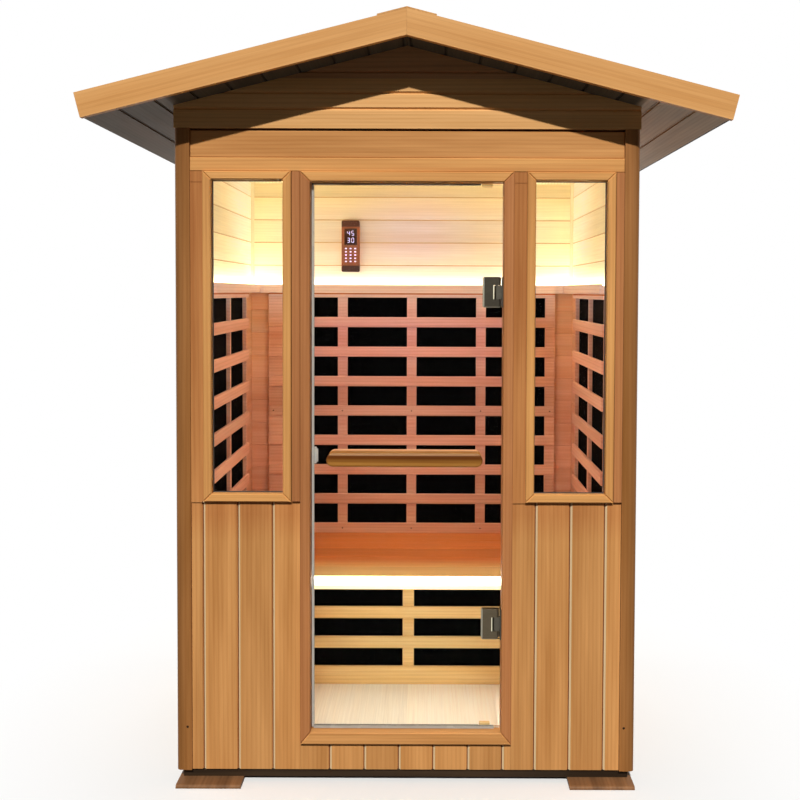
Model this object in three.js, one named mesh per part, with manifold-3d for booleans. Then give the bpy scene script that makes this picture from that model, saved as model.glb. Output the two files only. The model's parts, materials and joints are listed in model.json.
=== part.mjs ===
// Infrared sauna cabin: timber walls under a gabled roof, a glass door, a bench and slatted heaters.
// Millimetres, +Z up. The front faces -Y and the origin is on the ground under the middle.
import * as THREE from "three";
import { mergeVertices } from "three/addons/utils/BufferGeometryUtils.js";
import Module from "manifold-3d";

const wasm = await Module();
wasm.setup();

// Clearance between pieces that touch
const joint = 0.3;

// Cabin body, measured across the corner posts
const bodyWidth = 1350;
const bodyDepth = 1063;
const postWidth = 44;
const postDepth = 50;
const postRadius = 12;
const postProud = 8;
const panelThickness = 30;
const liningThickness = 12;

// Tongued and grooved boards
const boardPitch = 102;
const grooveWidth = 10;
const grooveDepth = 5;
const liningPitch = 88;
const liningGrooveWidth = 5;
const liningGrooveDepth = 2.5;
const sideFirstBoard = 26;
const backFirstBoard = 68;

// Runners, plinth and floor
const runnerThickness = 10;
const runnerWidth = 190;
const runnerInset = 5;
const runnerReach = 42;
const runnerNose = 8;
const plinthHeight = 25;
const plinthSetback = 8;
const plinthRail = 60;
const joistWidth = 40;
const joistInset = 90;
const joistCount = 4;
const floorRise = 110;
const floorThickness = 24;

// Front wall, stacked from the plinth up
const sillPanelHeight = 80;
const sillTrimHeight = 36;
const doorwayWidth = 562;
const doorwayHeight = 1617;
const trimWidth = 30;
const trimProud = 14;
const trimChamfer = 3;
const railHeight = 40;
const railProud = 5;
const railChamfer = 2;
const friezeHeight = 78;
const shadowGap = 6;
const sillFirstBoard = 87;

// Window bays beside the door
const lowerPanelHeight = 799;
const windowTrim = 24.5;
const stileWidth = 37;
const stileProud = 4;
const stripWidth = 25;
const stripSetback = 1;
const blockHeight = 31;
const blockGroove = 1.5;
const leftFirstBoard = 35;
const rightFirstBoard = 69.5;
const paneThickness = 6;
const paneSetback = 26;
const paneRebate = 8;

// Door glass and its gaps to the doorway
const glassThickness = 8;
const glassSetback = 30;
const latchGap = 6;
const hingeGap = 3;
const headGap = 6;
const sillGap = 5;

// Glass hinges: a leaf with knuckle and pin on the jamb, a clamp on the glass
const hingeHeight = 90;
const hingeFromEnd = 312;
const hingePivot = 17;
const hingeReach = 42;
const hingeTail = 7;
const hingeInnerTail = 12;
const clampPlate = 6.5;
const clampPocket = 9;
const clampStep = 1;
const clampCorner = 5;
const clampEase = 1.5;
const knuckleHeight = 41;
const knuckleRadius = 8;
const leafThickness = 3;
const leafDepth = 36;
const pinRadius = 4;
const pinCover = 6;

// Towel-bar handles on both sides of the glass
const handleHeight = 38;
const handleThickness = 22;
const handleGap = 24;
const handleRise = 804;
const handleLatchMargin = 42;
const handleHingeMargin = 56;
const handleEase = 5;
const handlePostRadius = 9;
const handlePostInset = 55;
const handleStudRadius = 5;

// Magnetic catch on the latch jamb
const catchWidth = 18;
const catchDepth = 18;
const catchHeight = 47;
const catchRise = 6;
const catchStep = 5;

// Bench
const seatRise = 365;
const seatThickness = 24;
const seatDepth = 635;
const seatBoard = 123;
const apronHeight = 43;
const apronThickness = 20;
const benchRailHeight = 60;
const benchSlatRows = 2;
const benchBays = 2;
const benchGuardSetback = 6;
const benchGuardInset = 25;
const ledgerHeight = 45;
const ledgerThickness = 30;
const benchLightThickness = 8;
const benchLightMargin = 1.5;

// Slatted heater guards on the walls
const slatHeight = 38.5;
const slatThickness = 10;
const slatChamfer = 1.5;
const battenWidth = 37;
const battenThickness = 11.4;
const heaterThickness = 8;
const heaterMargin = 12;
const guardHeight = 956;
const guardRows = 8;
const backGuardInset = 70;
const backGuardBays = 4;
const backStileWidth = 70;
const sideGuardFront = 108;
const sideGuardBack = 230;
const sideGuardBays = 2;
const sideBattenWidth = 18;

// Ledge that hides the wall light along the top of the guards
const ledgeHeight = 32;
const ledgeThickness = 10;
const ledgeRise = 10.5;
const ledgeFloor = 5;
const lightWidth = 10;
const lightThickness = 4;

// Control panel on the back wall
const controlWidth = 70;
const controlHeight = 198;
const controlThickness = 20;
const controlOffset = -238;
const controlRise = 50;
const controlCapHeight = 24;
const controlCapProud = 3;
const controlCorner = 6;

// Ceiling and the power unit above it
const ceilingDrop = 42;
const ceilingThickness = 28;
const powerWidth = 320;
const powerDepth = 200;
const powerHeight = 80;
const glandRadius = 12;
const glandLength = 26;

// Roof
const roofPitch = 14.3;
const gableRise = 238;
const gableSetback = 2;
const gableSide = 2;
const gableFoot = 56;
const gableFirstBoard = 102;
const gableBoard = 61;
const eaveReach = 225;
const bargeReach = 245;
const roofReach = 132;
const bargeThickness = 20;
const bargeWidth = 71;
const roofThickness = 60;
const shingleThickness = 8.8;
const shingleTip = 3;
const shingleExposure = 140;
const shingleDrip = 2;
const ridgeWidth = 67;
const ridgeThickness = 4;

// Facets of round shapes
const roundSteps = 6;
const cylinderSides = 16;
const weldDistance = 1e-4;

// Derived planes of the body
const frontFace = -(bodyDepth / 2 - postProud);
const wallThickness = panelThickness + liningThickness;
const frontInner = frontFace + wallThickness;
const backFace = -frontFace;
const backInner = backFace - wallThickness;
const sideFace = bodyWidth / 2 - postProud;
const sideInner = sideFace - wallThickness;
const postInnerX = bodyWidth / 2 - postWidth;
const postInnerY = bodyDepth / 2 - postDepth;
const liningReach = Math.min(postInnerY, backInner) - joint;

// Derived heights
const plinthTop = runnerThickness + plinthHeight;
const floorTop = plinthTop + floorRise;
const doorwayBottom = plinthTop + sillPanelHeight + sillTrimHeight;
const doorwayTop = doorwayBottom + doorwayHeight;
const headTop = doorwayTop + trimWidth;
const railTop = headTop + railHeight;
const friezeTop = railTop + friezeHeight;
const wallTop = friezeTop + shadowGap;
const lowerPanelTop = plinthTop + lowerPanelHeight;
const seatTop = floorTop + seatRise;
const apronBottom = seatTop - apronHeight;
const ceilingBottom = wallTop - ceilingDrop;
const guardTop = seatTop + joint + guardHeight;
const ledgeTop = guardTop + ledgeRise;

// Derived roof values
const pitch = THREE.MathUtils.degToRad(roofPitch);
const slope = Math.tan(pitch);
const soffitApex = wallTop + gableRise;
const shingleTop = roofThickness + joint + shingleThickness;
const roofEndY = bodyDepth / 2 + roofReach;

// Finishes
const finishes = {
  cladding: finish(0xc08a4f, 0.55, 0),
  post: finish(0xa86f3f, 0.55, 0),
  trim: finish(0xc9935a, 0.5, 0),
  lining: finish(0xe3bf86, 0.6, 0),
  guard: finish(0xd79a6c, 0.6, 0),
  bench: finish(0xcf8a4a, 0.55, 0),
  floor: finish(0xe6d3b0, 0.6, 0),
  roofBoards: finish(0x6f655c, 0.75, 0),
  shingles: finish(0x4b4643, 0.9, 0),
  barge: finish(0xcf9a63, 0.55, 0),
  ridge: finish(0xd8b48a, 0.6, 0),
  plinth: finish(0x2d2622, 0.8, 0),
  runner: finish(0x8d6a48, 0.7, 0),
  glass: finish(0xcfd8d4, 0.05, 0),
  steel: finish(0x9b9892, 0.35, 0.9),
  heater: finish(0x171514, 0.8, 0),
  light: finish(0xfff6df, 0.4, 0),
  control: finish(0x6a3c22, 0.4, 0.2),
  catch: finish(0xc9c7c2, 0.45, 0.3),
  power: finish(0x2f3133, 0.5, 0.4),
};

function finish(color, roughness, metalness) {
  return new THREE.MeshStandardMaterial({ color, roughness, metalness });
}

// A closed geometry as a solid that can be joined and cut
function solidOf(geometry) {
  const plain = geometry.clone();
  plain.deleteAttribute("normal");
  plain.deleteAttribute("uv");
  const merged = mergeVertices(plain, weldDistance);
  const vertProperties = new Float32Array(merged.attributes.position.array);
  const triVerts = new Uint32Array(merged.index.array);
  return new wasm.Manifold(new wasm.Mesh({ numProp: 3, vertProperties, triVerts }));
}

function geometryOf(solid) {
  const mesh = solid.getMesh();
  const geometry = new THREE.BufferGeometry();
  geometry.setAttribute("position", new THREE.BufferAttribute(new Float32Array(mesh.vertProperties), 3));
  geometry.setIndex(new THREE.BufferAttribute(new Uint32Array(mesh.triVerts), 1));
  geometry.computeVertexNormals();
  return geometry;
}

function joined(...geometries) {
  return geometryOf(geometries.map(solidOf).reduce((whole, next) => whole.add(next)));
}

function cut(geometry, ...tools) {
  return geometryOf(tools.map(solidOf).reduce((whole, tool) => whole.subtract(tool), solidOf(geometry)));
}

// A box between two corners
function block([x0, x1], [y0, y1], [z0, z1]) {
  const geometry = new THREE.BoxGeometry(x1 - x0, y1 - y0, z1 - z0);
  return geometry.translate((x0 + x1) / 2, (y0 + y1) / 2, (z0 + z1) / 2);
}

// A closed outline from its corners, without a corner that repeats the one before it
function shapeOf(points) {
  const corners = points.map(([u, v]) => new THREE.Vector2(u, v));
  return new THREE.Shape(corners.filter((corner, i) => corner.distanceTo(corners.at(i - 1)) > joint / 100));
}

// Outlines drawn in X and Y, carried up
function risen(points, [z0, z1]) {
  const geometry = new THREE.ExtrudeGeometry(shapeOf(points), { depth: z1 - z0, bevelEnabled: false });
  return geometry.translate(0, 0, z0);
}

// Outlines drawn in X and Z, carried from front to back
function carriedY(shape, [y0, y1]) {
  const geometry = new THREE.ExtrudeGeometry(shape, { depth: y1 - y0, bevelEnabled: false });
  return geometry.rotateX(Math.PI / 2).translate(0, y1, 0);
}

// Outlines drawn in Y and Z, carried from left to right
function carriedX(points, [x0, x1]) {
  const geometry = new THREE.ExtrudeGeometry(shapeOf(points), { depth: x1 - x0, bevelEnabled: false });
  const turn = new THREE.Matrix4().makeBasis(
    new THREE.Vector3(0, 1, 0),
    new THREE.Vector3(0, 0, 1),
    new THREE.Vector3(1, 0, 0),
  );
  return geometry.applyMatrix4(turn).translate(x0, 0, 0);
}

// Outline of a box with rounded corners, as an arc at each corner
function roundedOutline([u0, u1], [v0, v1], radius) {
  const limit = Math.min(radius, (u1 - u0) / 2.01, (v1 - v0) / 2.01);
  const corners = [
    [u1 - limit, v1 - limit],
    [u0 + limit, v1 - limit],
    [u0 + limit, v0 + limit],
    [u1 - limit, v0 + limit],
  ];
  return corners.flatMap(([u, v], quarter) => arc(u, v, limit, quarter * Math.PI / 2));
}

function arc(u, v, radius, start) {
  return Array.from({ length: roundSteps + 1 }, (_, i) => {
    const angle = start + (i / roundSteps) * (Math.PI / 2);
    return [u + radius * Math.cos(angle), v + radius * Math.sin(angle)];
  });
}

// Outline of a bar with half-round ends
function roundEnded([u0, u1], half) {
  const right = [...arc(u1 - half, 0, half, -Math.PI / 2), ...arc(u1 - half, 0, half, 0).slice(1)];
  const left = [...arc(u0 + half, 0, half, Math.PI / 2), ...arc(u0 + half, 0, half, Math.PI).slice(1)];
  return [...right, ...left];
}

// One edge of a board panel: at every board joint a tongue shows in a groove beside the next board's bevel
function groovedEdge([from, to], face, inward, first, spacing, width, depth) {
  const points = [[from, face]];
  const floor = face + inward * depth;
  for (let at = from + first; at < to - width; at += spacing) {
    if (at > from + width) {
      points.push([at - width / 2, face], [at - width / 2, floor], [at, floor], [at + width / 2, face]);
    }
  }
  points.push([to, face]);
  return points;
}

// A convex outline in X and Z, with its front edges chamfered
function chamferedPlate(points, [front, back], chamfer) {
  const rings = [
    points.map(([x, z]) => [x, back, z]),
    points.map(([x, z]) => [x, front + chamfer, z]),
    inset(points, chamfer).map(([x, z]) => [x, front, z]),
  ];
  return lofted(rings);
}

// The same plate with its back edges chamfered
function backChamferedPlate(points, [front, back], chamfer) {
  const rings = [
    inset(points, chamfer).map(([x, z]) => [x, back, z]),
    points.map(([x, z]) => [x, back - chamfer, z]),
    points.map(([x, z]) => [x, front, z]),
  ];
  return lofted(rings);
}

// Moves each side of a convex, anticlockwise outline inwards by the same distance
function inset(points, distance) {
  const lines = points.map((p, i) => {
    const q = points[(i + 1) % points.length];
    const length = Math.hypot(q[0] - p[0], q[1] - p[1]);
    const along = [(q[0] - p[0]) / length, (q[1] - p[1]) / length];
    return { at: [p[0] - along[1] * distance, p[1] + along[0] * distance], along };
  });
  return lines.map((line, i) => {
    const before = lines[(i + lines.length - 1) % lines.length];
    const cross = before.along[0] * line.along[1] - before.along[1] * line.along[0];
    const gap = [line.at[0] - before.at[0], line.at[1] - before.at[1]];
    const t = (gap[0] * line.along[1] - gap[1] * line.along[0]) / cross;
    return [before.at[0] + before.along[0] * t, before.at[1] + before.along[1] * t];
  });
}

// Skins convex rings of equal count into a closed body, from the back ring to the front ring
function lofted(rings) {
  const count = rings[0].length;
  const index = [];
  for (let r = 0; r + 1 < rings.length; r += 1) {
    for (let i = 0; i < count; i += 1) {
      const a = r * count + i;
      const b = r * count + ((i + 1) % count);
      index.push(a, b, a + count, b, b + count, a + count);
    }
  }
  const last = (rings.length - 1) * count;
  for (let i = 1; i + 1 < count; i += 1) {
    index.push(0, i + 1, i);
    index.push(last, last + i, last + i + 1);
  }
  const geometry = new THREE.BufferGeometry();
  geometry.setAttribute("position", new THREE.Float32BufferAttribute(rings.flat(2), 3));
  geometry.setIndex(index);
  geometry.computeVertexNormals();
  return geometry;
}

// A round bar along Z or Y
function roundBar(radius, length, alongY = false) {
  const geometry = new THREE.CylinderGeometry(radius, radius, length, cylinderSides);
  return alongY ? geometry : geometry.rotateX(Math.PI / 2);
}

function rectangle([u0, u1], [v0, v1]) {
  return [[u0, v0], [u1, v0], [u1, v1], [u0, v1]];
}

const sauna = new THREE.Group();

function place(name, geometry, material, group = sauna) {
  const mesh = new THREE.Mesh(geometry, material);
  mesh.name = name;
  group.add(mesh);
  return mesh;
}

// Everything above the roof's underside, used to cut wall tops to the slope
function aboveSoffit() {
  const reach = bodyWidth;
  const apex = soffitApex - joint;
  const high = apex + reach;
  const outline = [
    [-reach, apex - reach * slope],
    [0, apex],
    [reach, apex - reach * slope],
    [reach, high],
    [-reach, high],
  ];
  return carriedY(shapeOf(outline), [-bodyDepth, bodyDepth]);
}

// Runners under the cabin, each with a rounded nose at both ends
function addRunners() {
  const half = bodyDepth / 2 + runnerReach;
  const nose = Math.min(runnerNose, runnerThickness);
  const top = runnerThickness - nose;
  const outline = [
    [-half, 0],
    [half, 0],
    ...arc(half - nose, top, nose, 0),
    ...arc(nose - half, top, nose, Math.PI / 2),
  ];
  const outer = bodyWidth / 2 - runnerInset;
  const runner = carriedX(outline, [outer - runnerWidth, outer]);
  place("right_runner", runner, finishes.runner);
  place("left_runner", runner.clone(), finishes.runner).rotation.z = Math.PI;
}

// Plinth ring with floor joists, and the floor on it
function addFloor() {
  const halfX = sideFace - plinthSetback;
  const halfY = backFace - plinthSetback;
  const ring = cut(
    block([-halfX, halfX], [-halfY, halfY], [runnerThickness + joint, plinthTop]),
    block(
      [plinthRail - halfX, halfX - plinthRail],
      [plinthRail - halfY, halfY - plinthRail],
      [0, plinthTop + plinthHeight],
    ),
  );
  const floorBottom = floorTop - floorThickness;
  const spread = sideInner - joistInset;
  const joists = Array.from({ length: joistCount }, (_, i) => {
    const x = -spread + (2 * spread * i) / (joistCount - 1);
    const reach = backInner - joint;
    const height = [runnerThickness + joint, floorBottom - joint];
    return block([x - joistWidth / 2, x + joistWidth / 2], [-reach, reach], height);
  });
  place("base_frame", joined(ring, ...joists), finishes.plinth);
  const halfFloorX = sideInner - joint;
  const halfFloorY = backInner - joint;
  const deck = block([-halfFloorX, halfFloorX], [-halfFloorY, halfFloorY], [floorBottom, floorTop]);
  place("floor_panel", deck, finishes.floor);
}

// Corner posts with a rounded outer edge
function addPosts() {
  const outerX = bodyWidth / 2;
  const outerY = bodyDepth / 2;
  const radius = Math.min(postRadius, postWidth - 1, postDepth - 1);
  const outline = [
    [postInnerX, outerY],
    [postInnerX, postInnerY],
    [outerX, postInnerY],
    ...arc(outerX - radius, outerY - radius, radius, 0),
  ];
  for (const [end, sideY] of [["front", -1], ["rear", 1]]) {
    for (const [hand, sideX] of [["left", -1], ["right", 1]]) {
      const turned = outline.map(([x, y]) => [sideX * x, sideY * y]);
      place(`post_${end}_${hand}`, risen(turned, [plinthTop + joint, wallTop]), finishes.post);
    }
  }
}

// Side and back walls: upright boards outside, level boards as the lining inside
function addWalls() {
  const roofCut = aboveSoffit();
  const reachY = postInnerY - joint;
  const panelInner = sideFace - panelThickness;
  const sideEdge = groovedEdge(
    [-reachY, reachY],
    sideFace,
    -1,
    sideFirstBoard,
    boardPitch,
    grooveWidth,
    grooveDepth,
  );
  const sideOutline = [[reachY, panelInner], [-reachY, panelInner], ...sideEdge].map(([y, x]) => [x, y]);
  const side = cut(risen(sideOutline, [plinthTop + joint, soffitApex]), roofCut);
  place("right_wall_panel", side, finishes.cladding);
  place("left_wall_panel", side.clone(), finishes.cladding).rotation.z = Math.PI;

  const reachX = postInnerX - joint;
  const backEdge = groovedEdge(
    [-reachX, reachX],
    backFace,
    -1,
    backFirstBoard,
    boardPitch,
    grooveWidth,
    grooveDepth,
  );
  const backOutline = [
    [reachX, backFace - panelThickness],
    [-reachX, backFace - panelThickness],
    ...backEdge,
  ];
  place("back_wall_panel", risen(backOutline, [plinthTop + joint, wallTop]), finishes.cladding);

  const liningZ = [plinthTop + joint, ceilingBottom];
  const firstLining = floorTop - plinthTop + liningPitch;
  const liningEdge = groovedEdge(
    liningZ,
    0,
    1,
    firstLining,
    liningPitch,
    liningGrooveWidth,
    liningGrooveDepth,
  );
  const liningBack = liningThickness - joint;
  const liningOutline = [
    ...liningEdge,
    [liningZ[1], liningBack],
    [liningZ[0], liningBack],
  ].map(([z, n]) => [n, z]);
  const sideLining = carriedX(liningOutline, [-liningReach, liningReach]);
  const rightLining = place("right_wall_lining", sideLining, finishes.lining);
  rightLining.rotation.z = -Math.PI / 2;
  rightLining.position.x = sideInner;
  const leftLining = place("left_wall_lining", sideLining.clone(), finishes.lining);
  leftLining.rotation.z = Math.PI / 2;
  leftLining.position.x = -sideInner;
  const backLining = carriedX(liningOutline, [-reachX, reachX]);
  place("back_wall_lining", backLining, finishes.lining).position.y = backInner;
}

// Front boards below a window or the door, with upright V grooves on the face
function frontBoards([x0, x1], first, [z0, z1]) {
  const edge = groovedEdge([x0, x1], frontFace, 1, first, boardPitch, grooveWidth, grooveDepth);
  const outline = [...edge, [x1, frontInner], [x0, frontInner]];
  return risen(outline, [z0, z1]);
}

// A mitred picture frame's four bars, each an outline in X and Z
function mitredBars([x0, x1], [z0, z1], side, bottom) {
  const gap = joint / Math.SQRT2;
  const inner = { x0: x0 + side, x1: x1 - side, z0: z0 + bottom, z1: z1 - side };
  return {
    left: [[x0, z0 + gap], [inner.x0, inner.z0 + gap], [inner.x0, inner.z1 - gap], [x0, z1 - gap]],
    right: [[inner.x1, inner.z0 + gap], [x1, z0 + gap], [x1, z1 - gap], [inner.x1, inner.z1 - gap]],
    top: [[inner.x0 + gap, inner.z1], [inner.x1 - gap, inner.z1], [x1 - gap, z1], [x0 + gap, z1]],
    bottom: [[x0 + gap, z0], [x1 - gap, z0], [inner.x1 - gap, inner.z0], [inner.x0 + gap, inner.z0]],
  };
}

// A window bay: boards below, a stile under a short block to the left, a strip to the right
function addBay(hand, left, right, first) {
  const x0 = left + joint;
  const x1 = right - joint;
  const windowX = [x0 + stileWidth, x1 - stripWidth];
  const upper = [lowerPanelTop - trimChamfer, headTop];
  const stileFace = frontFace - stileProud;
  const blockLow = headTop - blockHeight;
  const stile = cut(
    block([x0, windowX[0]], [stileFace, frontInner], upper),
    block(
      [left, windowX[0] + joint],
      [stileFace - joint, stileFace + blockGroove],
      [blockLow - blockGroove, blockLow],
    ),
  );
  const panel = joined(
    frontBoards([x0, x1], first, [plinthTop + joint, lowerPanelTop]),
    stile,
    block([windowX[1], x1], [frontFace + stripSetback, frontInner], upper),
  );
  place(`front_${hand}_panel`, panel, finishes.cladding);

  const frameX = [windowX[0] + joint, windowX[1] - joint];
  const frameZ = [lowerPanelTop + joint, headTop - joint];
  const sightX = [frameX[0] + windowTrim, frameX[1] - windowTrim];
  const sightZ = [frameZ[0] + windowTrim, frameZ[1] - windowTrim];
  const front = frontFace - trimProud;
  const paneFront = front + paneSetback;
  const grown = ([a, b], by) => [a - by, b + by];
  const ring = cut(
    block(frameX, [front + trimChamfer, frontInner], frameZ),
    block(sightX, [front - trimProud, frontInner + trimProud], sightZ),
    block(grown(sightX, paneRebate), [paneFront, frontInner + trimProud], grown(sightZ, paneRebate)),
  );
  const bars = Object.values(mitredBars(frameX, frameZ, windowTrim, windowTrim));
  const faces = bars.map((bar) => chamferedPlate(bar, [front, front + 2 * trimChamfer], trimChamfer));
  place(`${hand}_window_frame`, joined(ring, ...faces), finishes.trim);

  const paneX = grown(sightX, paneRebate - joint);
  const paneZ = grown(sightZ, paneRebate - joint);
  const pane = block(paneX, [paneFront + joint, paneFront + joint + paneThickness], paneZ);
  place(`${hand}_window_pane`, pane, finishes.glass);
}

// Front wall: two window bays, boards under the door, the mitred door frame, rail and frieze
function addFront() {
  const doorOuter = doorwayWidth / 2 + trimWidth;
  addBay("left", -postInnerX, -doorOuter, leftFirstBoard);
  addBay("right", doorOuter, postInnerX, rightFirstBoard);
  const sillX = [-doorOuter, doorOuter];
  const sillTop = plinthTop + sillPanelHeight;
  place(
    "front_sill_panel",
    frontBoards(sillX, sillFirstBoard, [plinthTop + joint, sillTop - joint]),
    finishes.cladding,
  );

  const bars = mitredBars(sillX, [sillTop, headTop], trimWidth, sillTrimHeight);
  const depth = [frontFace - trimProud, frontInner];
  place("door_jamb_left", chamferedPlate(bars.left, depth, trimChamfer), finishes.trim);
  place("door_jamb_right", chamferedPlate(bars.right, depth, trimChamfer), finishes.trim);
  place("door_head", chamferedPlate(bars.top, depth, trimChamfer), finishes.trim);
  place("door_sill", chamferedPlate(bars.bottom, depth, trimChamfer), finishes.trim);

  const span = [joint - postInnerX, postInnerX - joint];
  const rail = rectangle(span, [headTop + joint, railTop]);
  place(
    "front_top_rail",
    chamferedPlate(rail, [frontFace - railProud, frontInner], railChamfer),
    finishes.trim,
  );
  const frieze = rectangle(span, [railTop + joint, friezeTop]);
  place(
    "front_frieze_board",
    chamferedPlate(frieze, [frontFace, frontInner], railChamfer),
    finishes.cladding,
  );
}

// Door leaf in its own frame: X from the pin's axis, Y from the middle of the glass
function addDoor() {
  const jamb = doorwayWidth / 2;
  const pivotX = jamb - hingePivot;
  const pivotY = frontFace - trimProud + glassSetback + glassThickness / 2;
  const door = new THREE.Group();
  door.position.set(pivotX, pivotY, 0);
  sauna.add(door);
  const hardware = new THREE.Group();
  hardware.position.copy(door.position);
  sauna.add(hardware);

  const glassX = [latchGap - jamb - pivotX, hingePivot - hingeGap];
  const glassZ = [doorwayBottom + sillGap, doorwayTop - headGap];
  const hinges = [["upper", glassZ[1] - hingeFromEnd], ["lower", glassZ[0] + hingeFromEnd]];
  const barX = [glassX[0] + handleLatchMargin, glassX[1] - handleHingeMargin];
  const barZ = glassZ[0] + handleRise;
  const posts = [barX[0] + handlePostInset, barX[1] - handlePostInset];
  addGlass(door, glassX, glassZ, hinges, posts, barZ);
  addHandles(door, barX, barZ, posts);
  for (const [name, z] of hinges) {
    addHinge(name, z, door, hardware);
  }
  addCatch(glassX[0] - latchGap, barZ + catchRise, hardware);
}

// Glass leaf with a notch round each hinge and a hole for each handle stud
function addGlass(door, [x0, x1], [z0, z1], hinges, posts, barZ) {
  const notch = -clampPocket - joint;
  const half = hingeHeight / 2 + 2 * joint;
  const notches = [...hinges].reverse().flatMap(
    ([, z]) => [[x1, z - half], [notch, z - half], [notch, z + half], [x1, z + half]],
  );
  const outline = shapeOf([[x0, z0], [x1, z0], ...notches, [x1, z1], [x0, z1]]);
  for (const x of posts) {
    const hole = new THREE.Path();
    hole.absarc(x, barZ, handleStudRadius + joint, 0, Math.PI * 2);
    outline.holes.push(hole);
  }
  const depth = glassThickness;
  const options = { depth, bevelEnabled: false, curveSegments: cylinderSides / 2 };
  const geometry = new THREE.ExtrudeGeometry(outline, options).rotateX(Math.PI / 2);
  place("door_glass", geometry.translate(0, depth / 2, 0), finishes.glass, door);
}

// A bar with round ends and eased edges on two posts; the outer one carries the studs through the glass
function addHandles(door, [x0, x1], z, posts) {
  const outline = shapeOf(roundEnded([x0, x1], handleHeight / 2));
  const flat = handleThickness - 2 * handleEase;
  const bar = new THREE.ExtrudeGeometry(outline, {
    depth: flat,
    bevelThickness: handleEase,
    bevelSize: handleEase,
    bevelOffset: -handleEase,
    bevelSegments: 2,
  });
  bar.rotateX(Math.PI / 2).translate(0, flat / 2, 0);
  const face = glassThickness / 2 + joint;
  const middle = face + handleGap + handleThickness / 2;
  const post = roundBar(handlePostRadius, handleGap + handleEase, true);
  const postY = face + (handleGap + handleEase) / 2;
  const stud = roundBar(handleStudRadius, glassThickness + handleGap, true);
  const studY = face - joint - (glassThickness + handleGap) / 2 + handleGap;
  const outer = [bar.clone().translate(0, -middle, z)];
  const inner = [bar.clone().translate(0, middle, z)];
  for (const x of posts) {
    outer.push(post.clone().translate(x, -postY, z), stud.clone().translate(x, -studY, z));
    inner.push(post.clone().translate(x, postY, z));
  }
  place("handle_outer", joined(...outer), finishes.trim, door);
  place("handle_inner", joined(...inner), finishes.trim, door);
}

// One hinge: the clamp's two plates and web hold the glass, and its pocket takes the leaf's knuckle
function addHinge(name, z, door, hardware) {
  const half = hingeHeight / 2;
  const outer = glassThickness / 2 + joint + clampPlate;
  const inner = glassThickness / 2 + joint;
  const outerPlate = roundedOutline([-hingeReach, hingeTail], [-half, half], clampCorner);
  const innerPlate = roundedOutline([-hingeReach, hingeInnerTail], [-half, half], clampCorner);
  const pocketHalf = knuckleHeight / 2 + joint;
  const boreHalf = half - pinCover + joint;
  const clamp = cut(
    joined(
      chamferedPlate(outerPlate, [-outer, -inner], clampEase),
      backChamferedPlate(innerPlate, [inner, outer], clampEase),
      block(
        [-clampPocket, hingeTail - clampCorner / 2],
        [clampStep - outer, outer - clampStep],
        [clampCorner - half, half - clampCorner],
      ),
    ),
    block([-clampPocket, hingePivot], [-outer * 2, outer * 2], [-pocketHalf, pocketHalf]),
    roundBar(pinRadius + joint, 2 * boreHalf),
  );
  place(`hinge_${name}_clamp`, clamp, finishes.steel, door).position.z = z;

  const jambX = hingePivot - joint;
  const knuckle = knuckleHeight / 2;
  const leaf = joined(
    block([jambX - leafThickness, jambX], [-leafDepth / 2, leafDepth / 2], [-half, half]),
    block([0, jambX - leafThickness / 2], [-knuckleRadius, knuckleRadius], [-knuckle, knuckle]),
    roundBar(knuckleRadius, knuckleHeight),
    roundBar(pinRadius, 2 * (half - pinCover)),
  );
  place(`hinge_${name}_leaf`, leaf, finishes.steel, hardware).position.z = z;
}

// Catch behind the glass on the latch jamb, with a stepped magnet face
function addCatch(jambX, z, hardware) {
  const x0 = jambX + joint;
  const y0 = glassThickness / 2 + joint;
  const half = catchHeight / 2;
  const body = joined(
    block([x0, x0 + catchWidth - catchStep], [y0, y0 + catchDepth], [z - half, z + half]),
    block(
      [x0, x0 + catchWidth],
      [y0, y0 + catchDepth - catchStep],
      [z - half + catchStep, z + half - catchStep],
    ),
  );
  place("door_catch", body, finishes.catch, hardware);
}

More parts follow.
